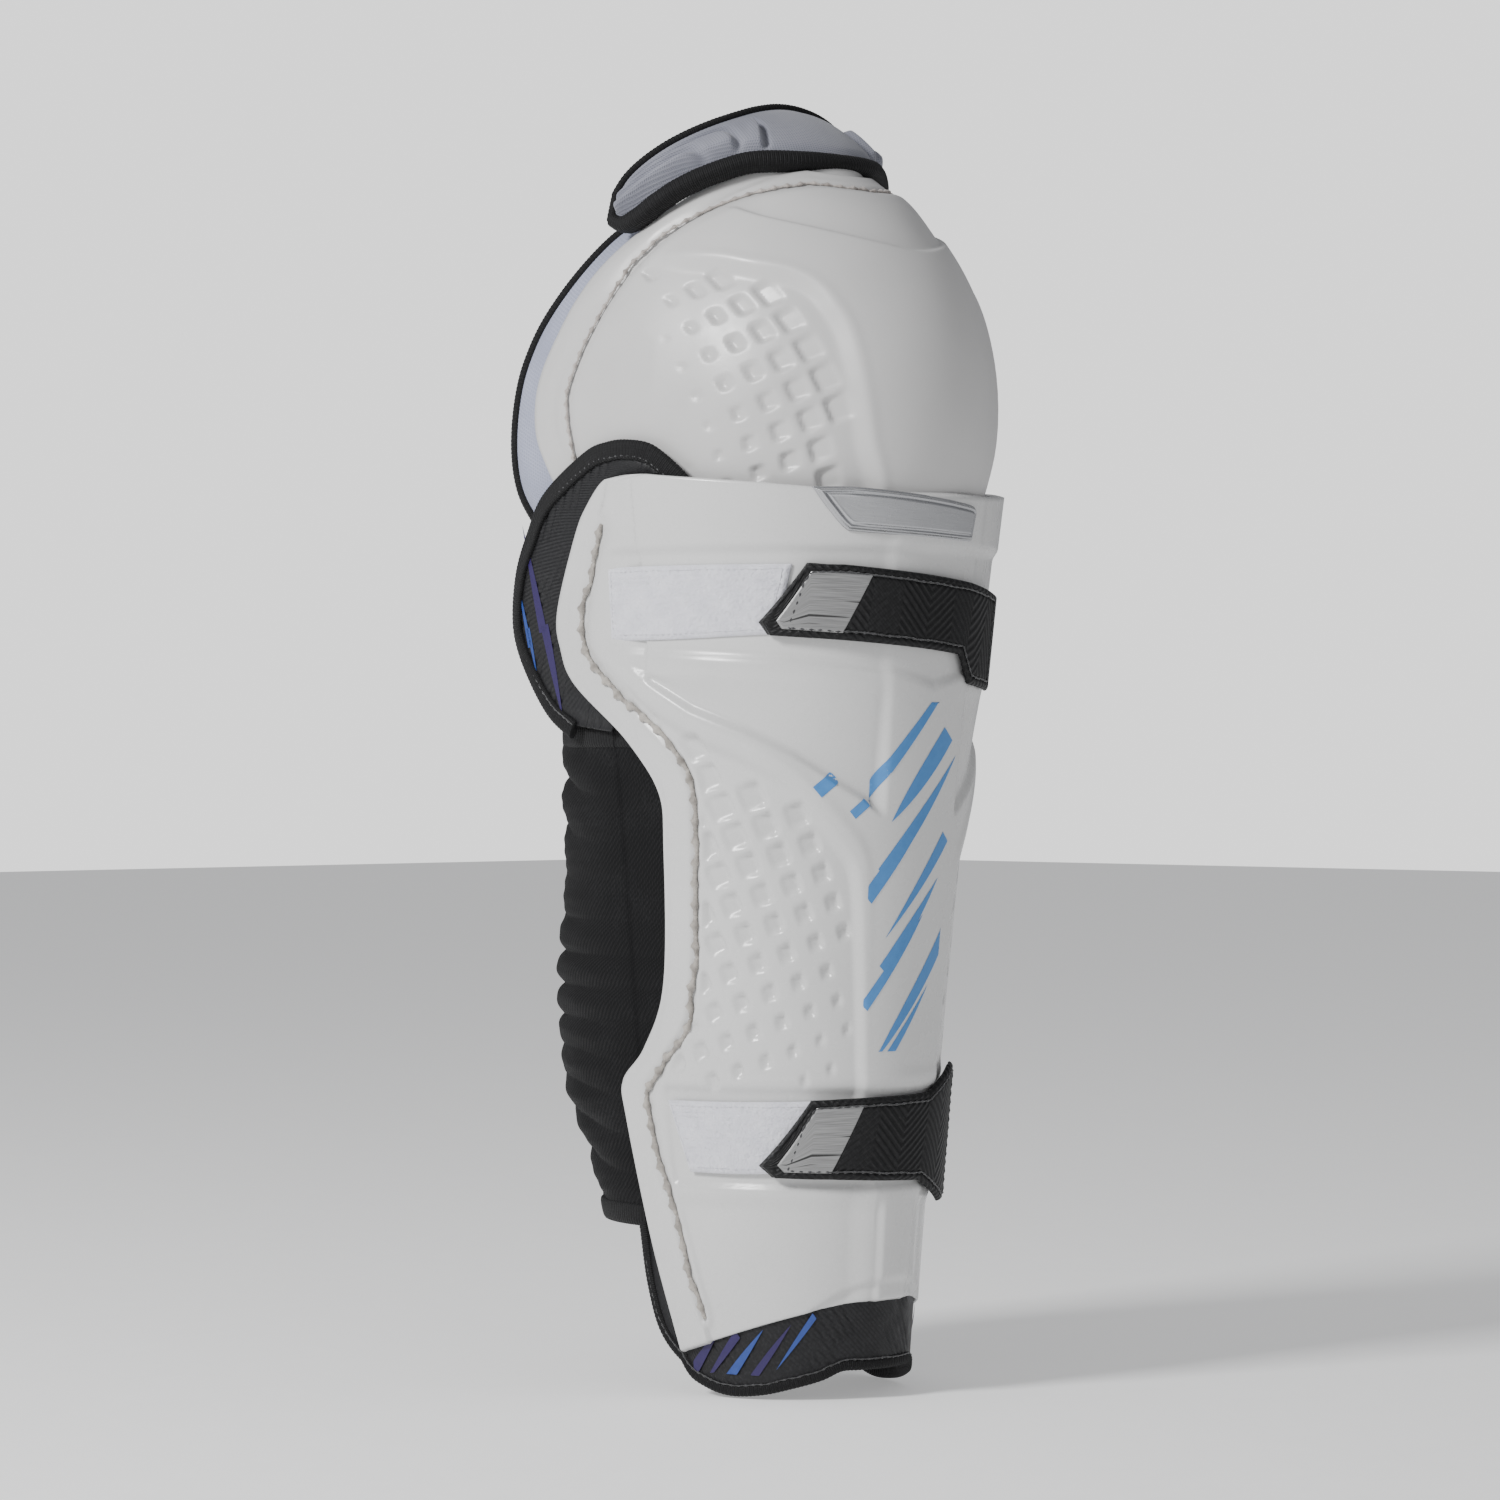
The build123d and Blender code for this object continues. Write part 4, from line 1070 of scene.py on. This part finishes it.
foam_turn, foam_rise = foam_flat[..., 0] * DEGREES, foam_flat[..., 1] * DEGREES
foam_low = -5.2 - 2.8 * smooth(rim_gap(foam_flat), -0.5, 6.0)
foam = layer("thigh_foam_cushion", thigh_point, foam_turn, foam_rise, -3.4, foam_low)
place(foam, "thigh", "pad_grey", grey_foam, "thigh_foam")
round_line = np.concatenate([low - np.array([0.0, 1.3]), high[::-1]])
round_line = np.concatenate([round_line, round_line[:6]])
where = np.linspace(0, 1, len(round_line))
width = np.interp(where, [0, 0.03, 0.47, 0.52, 0.56, 0.95, 1.0],
                  [0.0052, 0.0062, 0.0062, 0.0048, 0.0030, 0.0030, 0.0050])
turn, rise = round_line[:, 0] * DEGREES, round_line[:, 1] * DEGREES
roll = tape("thigh_binding_tape", thigh_point, turn, rise, -2.9, width, 0.0080)
place(roll, "thigh", "binding_black", black_tape, "thigh_binding")

# ======================================================================================
# Calf wrap.  One panel of black stretch twill from under the outer edge of the shell, round
# the calf, to the straps on the inner side.  It gathers in level pleats.
# ======================================================================================
WRAP_DEPTHS = ((40.0, 40.0), (64.0, 47.0), (85.0, 56.0), (106.0, 69.0), (140.0, 71.0), (180.0, 64.0),
               (210.0, 61.0), (240.0, 57.0))
WRAP_UNDER = 8.0
WRAP_OVER = 3.4
WRAP_BACK_Y = 20.0


def wrap_outline(z):
    """Outer face of the wrap at each height, front edge to front edge: the shin surface under the shell, two
    quarter ellipses behind, and the shin surface again on the inner side, in millimetres."""
    depths = curve(WRAP_DEPTHS, 120)
    back = np.interp(z, depths[:, 0], depths[:, 1])
    left, edge = shin_half(z) - WRAP_UNDER, shin_half(z) + WRAP_OVER
    right = edge * math.sqrt(1 - (WRAP_BACK_Y / SHIN_BACK) ** 2)
    y = np.linspace(-14.5, 19.0, 34)[None, :]
    first = np.stack([-left * np.sin(shin_turn(y, z, -WRAP_UNDER)), y + 0 * z], axis=-1)
    s = np.linspace(0, math.pi / 2, 70)[None, :]
    second = np.stack([-left * np.cos(s), WRAP_BACK_Y + back * np.sin(s)], axis=-1)
    s = s[:, -2::-1]
    third = np.stack([right * np.cos(s), WRAP_BACK_Y + back * np.sin(s)], axis=-1)
    y = np.linspace(19.0, 0.5, 20)[None, :]
    fourth = np.stack([edge * np.sin(shin_turn(y, z, WRAP_OVER)), y + 0 * z], axis=-1)
    flat = np.concatenate([first, second, third, fourth], axis=1)
    return np.concatenate([flat, np.broadcast_to(z[..., None], flat.shape[:2] + (1,))], axis=-1)


def outward(points):
    """Unit normals of a grid: the cross product of its row and column differences, pointing away from the
    leg's axis."""
    n = np.cross(np.gradient(points, axis=1), np.gradient(points, axis=0))
    n = n / np.maximum(np.linalg.norm(n, axis=-1, keepdims=True), 1e-12)
    away = points * np.array([1.0, 1.0, 0.0]) - np.array([0.0, WRAP_BACK_Y, 0.0])
    return n * np.sign((n * away).sum(axis=-1, keepdims=True))


def stretch_twill(name):
    """Stretch twill: slanting ribs on the flat layout, faint knitted rows, dull black with lint and a little
    fading on the pleats."""
    material, shader, add, join = node_material(name)
    at = add("UVMap").outputs["UV"]
    slanting = wave(add, at, "DIAGONAL", 0.0011, 0.5)
    weave = arithmetic(add, "MULTIPLY", slanting, wave(add, at, "X", 0.0008, 0.5))
    lint = noise(add, at, 900.0, 5.0)
    cloud = noise(add, at, 40.0, 4.0)
    faded = arithmetic(add, "MULTIPLY", lint, cloud)
    black, grey = (0.0045, 0.0045, 0.005), (0.014, 0.014, 0.015)
    join(shader, Base_Color=shades(add, faded, (0.25, black), (0.50, grey)),
         Roughness=shades(add, weave, (0.1, 0.92), (0.8, 0.74)),
         Normal=bump(add, 0.55, 0.0004, weave),
         Sheen_Weight=0.03, Sheen_Roughness=0.4, Specular_IOR_Level=0.2)
    return material


z = np.linspace(61.5, 230.5, 225)[:, None]
wrap = wrap_outline(z)
n = outward(wrap)
column = np.linspace(0, 1, wrap.shape[1])[None, :]
free = smooth(column, 0.16, 0.32) * (1 - smooth(column, 0.82, 0.95))
tall = 1 - smooth(np.abs(z - 146) / 84, 0.88, 1.0)
phase = z / 13.2 + 0.30 * np.sin(z * 0.043 + 1.0) + 0.28 * np.sin(column * 7.5 + 0.4)
phase = phase + 0.12 * np.sin(column * 16 + z * 0.05)
depth = 0.85 + 0.30 * np.sin(z * 0.085 + 2.0) + 0.25 * np.sin(column * 10.0 + z * 0.11)
small = np.sin(z * 1.15 + 3 * np.sin(column * 12.0 + z * 0.04))
puff = free * tall * (2.7 * depth * (np.abs(np.sin(math.pi * phase)) ** 0.8 - 0.6) + 0.14 * small)
puff = puff + 0.9 * free * bell(z, 226, 3)
outer = (wrap + n * puff[..., None]) * MM
inner = (wrap + n * (puff - 1.5)[..., None]) * MM
cloth = wall("calf_wrap_twill", outer, inner)
twill = stretch_twill("stretch_twill")
cloth.data.materials.append(twill)
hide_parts("calf_wrap", "wrap_anchor")
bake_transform(cloth)
for name, row, drop in (("top", -3, -0.4), ("bottom", 3, -0.3)):
    line = wrap[row] + n[row] * (puff[row] + drop)[:, None]
    path = even(line * MM, 900)
    section = tape_section(np.linspace(0, run_of(path)[-1], 900), 0.0075, 0.0026)
    roll = sweep(f"calf_wrap_hem_{name}", path, spread(n[row], 900), section)
    roll.data.materials.append(black_tape)
    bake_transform(roll)

# ======================================================================================
# Yokes.  Two woven elastic webs sewn to the inner front edge of the wrap, which carry the
# straps' elastic.
# ======================================================================================


def elastic_web(name):
    """Woven elastic: strong ribs across its pull, a fine warp, dull black with paler rubber at the ribs."""
    material, shader, add, join = node_material(name)
    at = add("UVMap").outputs["UV"]
    rib = wave(add, at, "X", 0.0017, 0.3)
    warp = wave(add, at, "Y", 0.0006)
    low = bump(add, 0.3, 0.0002, warp)
    lint = noise(add, at, 800.0, 4.0)
    join(shader, Base_Color=shades(add, lint, (0.4, (0.006, 0.006, 0.0065)), (0.7, (0.018, 0.018, 0.019))),
         Roughness=shades(add, rib, (0.2, 0.85), (0.8, 0.65)),
         Normal=bump(add, 0.7, 0.0006, rib, low),
         Sheen_Weight=0.15, Specular_IOR_Level=0.25)
    return material


elastic = elastic_web("elastic_web")
YOKES = (("upper", ((0.0, 193.0), (-12.0, 216.0), (-29.6, 251.0)),
          ((0.0, 223.5), (-14.0, 261.0), (-29.6, 272.5))),
         ("lower", ((-0.2, 80.5), (-15.0, 80.5), (-29.6, 80.5)),
          ((-0.2, 104.5), (-15.0, 104.5), (-29.6, 104.5))))
for name, low_line, high_line in YOKES:
    flat = strip(low_line, high_line, 41, 81)
    turn = shin_turn(flat[..., 0], flat[..., 1], WRAP_OVER)
    gap = rim_gap(flat)
    high = 3.0 + 0.35 * smooth(gap, 0.0, 1.0) - 0.25 * bell(gap, 2.6, 0.7)
    yoke = layer(f"{name}_yoke_web", shin_point, turn, flat[..., 1], high, 1.0)
    place(yoke, "calf_wrap", "elastic_black", elastic, f"{name}_yoke")

# ======================================================================================
# Straps.  Each is a black tab with a slanted silver tip and a hook pad behind, sewn to
# elastic that runs round the inner side.  The border is stitched all round.
# ======================================================================================


def chevron_cloth(name, pitch):
    """Embossed strap cloth: slanting bars that change direction along the strap, over a fine weave."""
    material, shader, add, join = node_material(name)
    at = add("UVMap").outputs["UV"]
    parts = add("SeparateXYZ", Vector=at)
    swing = arithmetic(add, "PINGPONG", parts.outputs["X"], 0.011)
    bent = add("CombineXYZ", X=arithmetic(add, "ADD", swing, parts.outputs["Y"])).outputs[0]
    bars = wave(add, bent, "X", pitch)
    weave = wave(add, at, "DIAGONAL", 0.0007)
    low = bump(add, 0.25, 0.0002, weave)
    lint = noise(add, at, 700.0, 4.0)
    join(shader, Base_Color=shades(add, lint, (0.45, (0.004, 0.004, 0.0045)), (0.75, (0.012, 0.012, 0.013))),
         Roughness=shades(add, bars, (0.2, 0.66), (0.8, 0.5)),
         Normal=bump(add, 0.55, 0.0005, bars, low),
         Specular_IOR_Level=0.3)
    return material


def slashed_foil(name):
    """Silver foil print on the strap tip: brushed metal broken by slanting black strokes, long and short."""
    material, shader, add, join = node_material(name)
    at = add("UVMap").outputs["UV"]
    slanted = add("Mapping", Vector=at, Rotation=(0, 0, -0.95), Scale=(24.0, 520.0, 1.0)).outputs["Vector"]
    strokes = noise(add, slanted, 1.0, 1.0)
    mask = shades(add, strokes, (0.62, 1.0), (0.65, 0.0))
    brushed = add("Mapping", Vector=at, Rotation=(0, 0, -0.95), Scale=(70.0, 4200.0, 1.0)).outputs["Vector"]
    lines = noise(add, brushed, 1.0, 4.0)
    foil = shades(add, lines, (0.3, (0.20, 0.20, 0.20)), (0.7, (0.40, 0.40, 0.40)))
    tint = add("Mix", dict(data_type="RGBA"), n0=mask, n6=(0.02, 0.02, 0.02, 1), n7=foil).outputs[2]
    join(shader, Base_Color=tint, Metallic=mask, Roughness=shades(add, lines, (0.3, 0.34), (0.7, 0.5)),
         Normal=bump(add, 0.3, 0.0001, lines))
    return material


def hook_tape(name):
    """Moulded hook tape: rows of tiny hooks as a close grid of dots, glossy black, with the raised hooks
    painted lighter as painted highlight and the gaps between them darker as painted shade.
    """
    material, shader, add, join = node_material(name)
    at = add("TexCoord").outputs["Object"]
    dots = add("TexVoronoi", Vector=at, Scale=700.0, Randomness=0.1).outputs["Distance"]
    # Base colour: painted highlight on the raised hook dots and painted shade between them.
    join(shader, Base_Color=shades(add, dots, (0.1, (0.03, 0.03, 0.03)), (0.6, (0.008, 0.008, 0.008))),
         Roughness=shades(add, dots, (0.2, 0.35), (0.7, 0.6)),
         Normal=add("Bump", dict(invert=True), Strength=0.9, Distance=0.0005, Height=dots).outputs["Normal"])
    return material


strap_cloth = chevron_cloth("strap_cloth", 0.0030)
tip_foil = slashed_foil("tip_foil")
hooks = hook_tape("hook_tape")
STRAPS = dict(
    upper=dict(tip=(((-54.8, 267.0), (-53.0, 262.8), (-45, 262.0), (-36.9, 261.3)),
                    ((-54.4, 268.2), (-47.4, 285.8), (-38, 285.7), (-28.8, 284.7))),
               tab=(((-36.9, 261.3), (-10, 258.8), (7.5, 257.0), (14.0, 247.2), (32.0, 245.0)),
                    ((-28.8, 284.7), (-8, 282.6), (12.0, 280.5), (22, 278.9), (32.0, 277.0))),
               foil=(((-52.2, 267.4), (-50.9, 264.7), (-36.9, 263.3)),
                     ((-51.9, 268.3), (-46.2, 283.7), (-30.0, 282.8))),
               band=(250.5, 272.5)),
    lower=dict(tip=(((-41.3, 84.5), (-39.0, 80.8), (-32, 80.5), (-27.2, 80.4)),
                    ((-41.0, 85.6), (-33.0, 106.4), (-25, 107.0), (-18.0, 107.3))),
               tab=(((-27.2, 80.4), (-10, 79.6), (5.0, 79.0), (23.0, 70.2), (32.8, 69.5)),
                    ((-18.0, 107.3), (-4, 107.8), (8.0, 108.2), (25.0, 116.4), (32.8, 116.8))),
               foil=(((-38.8, 85.0), (-37.4, 82.6), (-27.0, 82.4)),
                     ((-38.5, 85.9), (-31.8, 104.4), (-19.1, 105.2))),
               band=(80.5, 104.5)))
BAND_START_X = 24.2
BAND_END_Y = -30.8
BAND_LENGTH = 46.0
BAND_RIB = 1.7
for name, strap in STRAPS.items():
    for part, columns, end in (("tip", 81, 0), ("tab", 201, -1)):
        flat = strip(*strap[part], 61, columns, False)
        x, z = flat[..., 0], flat[..., 1]
        gap = np.minimum(np.minimum(z - z[0], z[-1] - z), np.abs(x - x[:, end][:, None]))
        high = 3.1 + 0.75 * smooth(gap, -0.3, 1.0) - 0.4 * bell(gap, 2.4, 0.7)
        piece = layer(f"{name}_strap_{part}_sewn", shin_point, front_turn(x, z, 2.0), z, high, 1.95, 2)
        place(piece, f"{name}_strap", "strap_black", strap_cloth, f"{name}_strap_{part}")
    flat = strip(*strap["foil"], 41, 61, False)
    turn = front_turn(flat[..., 0], flat[..., 1], 2.0)
    high = 3.85 + 0.25 * smooth(rim_gap(flat), -0.2, 0.5)
    foil = layer(f"{name}_strap_tip_foil", shin_point, turn, flat[..., 1], high, 3.3, 2)
    place(foil, f"{name}_strap", "tip_silver", tip_foil, f"{name}_strap_tip")
    tips, tabs = (np.array(strap[part]) for part in ("tip", "tab"))
    low_line = np.concatenate([even(tips[0], 40)[12:], even(tabs[0], 80)[1:-4]]) + np.array([0.6, 2.4])
    high_line = np.concatenate([even(tips[1], 40)[16:], even(tabs[1], 80)[1:-4]]) + np.array([0.2, -2.4])
    loop = even(np.concatenate([low_line, high_line[::-1], low_line[:2]]), 500)
    turn = front_turn(loop[:, 0], loop[:, 1], 3.5)
    stitch = seam_thread(f"{name}_strap_stitch", shin_point, turn, loop[:, 1], 3.9, 0.00026, 0.0030, 41)
    place(stitch, f"{name}_strap", "strap_black", black_thread)
    bottom, top = strap["band"]
    start_t, end_t = front_turn(BAND_START_X, bottom, 1.0), shin_turn(BAND_END_Y, bottom, 1.0)
    rows = np.linspace(bottom, top, 61)[:, None] + np.zeros(121)
    turn = start_t + (end_t - start_t) * np.linspace(0, 1, 121) + 0 * rows
    ribs = 0.048 * np.cos(np.linspace(0, BAND_LENGTH, 121) * 2 * math.pi / BAND_RIB)
    high = 1.55 + 0.35 * smooth(np.minimum(rows - bottom, top - rows), 0.0, 0.8) + ribs
    web = layer(f"{name}_strap_elastic_web", shin_point, turn, rows, high, 0.45)
    place(web, f"{name}_strap", "elastic_black", elastic, f"{name}_strap_elastic")
    dress(f"{name}_hook_pad", hooks)

# ======================================================================================
# Studio.  A plain pale floor under the hem, a soft bright surround, a large key light on the
# outer side and a weak fill in front.
# ======================================================================================
CAMERA_AWAY = 1.7
CAMERA_SIDE = 0.006264
CAMERA_HEIGHT = 0.22446
FLOOR_Z = 0.0042


def lamp(name, at, size, power):
    """Square area light at a place, turned to face the middle of the guard."""
    data = bpy.data.lights.new(name, "AREA")
    data.size = size
    data.energy = power
    light = bpy.data.objects.new(name, data)
    bpy.context.scene.collection.objects.link(light)
    light.location = at
    aim = Vector((0.0, 0.0, 0.22)) - Vector(at)
    light.rotation_euler = aim.to_track_quat("-Z", "Y").to_euler()


material, shader, add, join = node_material("floor_paper")
fibre = noise(add, add("TexCoord").outputs["Object"], 90.0, 4.0)
join(shader, Base_Color=shades(add, fibre, (0.3, 0.92), (0.7, 0.95)), Roughness=0.9,
     Emission_Color=(1.0, 1.0, 1.0, 1.0), Emission_Strength=0.30,
     Normal=bump(add, 0.05, 0.001, fibre))
ground = bpy.data.objects.new("floor", bpy.data.meshes.new("floor"))
corners = [(-6, -6, FLOOR_Z), (6, -6, FLOOR_Z), (6, 6, FLOOR_Z), (-6, 6, FLOOR_Z)]
ground.data.from_pydata(corners, [], [(0, 1, 2, 3)])
ground.data.materials.append(material)
bpy.context.scene.collection.objects.link(ground)
world = bpy.data.worlds.new("surround")
bpy.context.scene.world = world
world.use_nodes = True
sky = world.node_tree
sky.nodes["Background"].inputs["Color"].default_value = (0.96, 0.97, 1.0, 1.0)
sky.nodes["Background"].inputs["Strength"].default_value = 0.32
seen = sky.nodes.new("ShaderNodeBackground")
seen.inputs["Color"].default_value = (1.0, 1.0, 1.0, 1.0)
seen.inputs["Strength"].default_value = 1.5
either = sky.nodes.new("ShaderNodeMixShader")
path = sky.nodes.new("ShaderNodeLightPath")
sky.links.new(path.outputs["Is Camera Ray"], either.inputs[0])
sky.links.new(sky.nodes["Background"].outputs[0], either.inputs[1])
sky.links.new(seen.outputs[0], either.inputs[2])
sky.links.new(either.outputs[0], sky.nodes["World Output"].inputs["Surface"])
lamp("key", (-1.75, 0.10, 1.25), 0.45, 46)
lamp("fill", (-0.5, -2.0, 0.9), 1.2, 3)
lens = bpy.data.cameras.new("camera")
lens.lens = 117.24
lens.sensor_width = 36.0
camera = bpy.data.objects.new("camera", lens)
bpy.context.scene.collection.objects.link(camera)
c = math.sqrt(0.5)
camera.matrix_world = Matrix(((c, 0, -c, -CAMERA_AWAY * c - CAMERA_SIDE * c),
                              (-c, 0, -c, -CAMERA_AWAY * c + CAMERA_SIDE * c),
                              (0, 1, 0, CAMERA_HEIGHT), (0, 0, 0, 1)))
bpy.context.scene.camera = camera
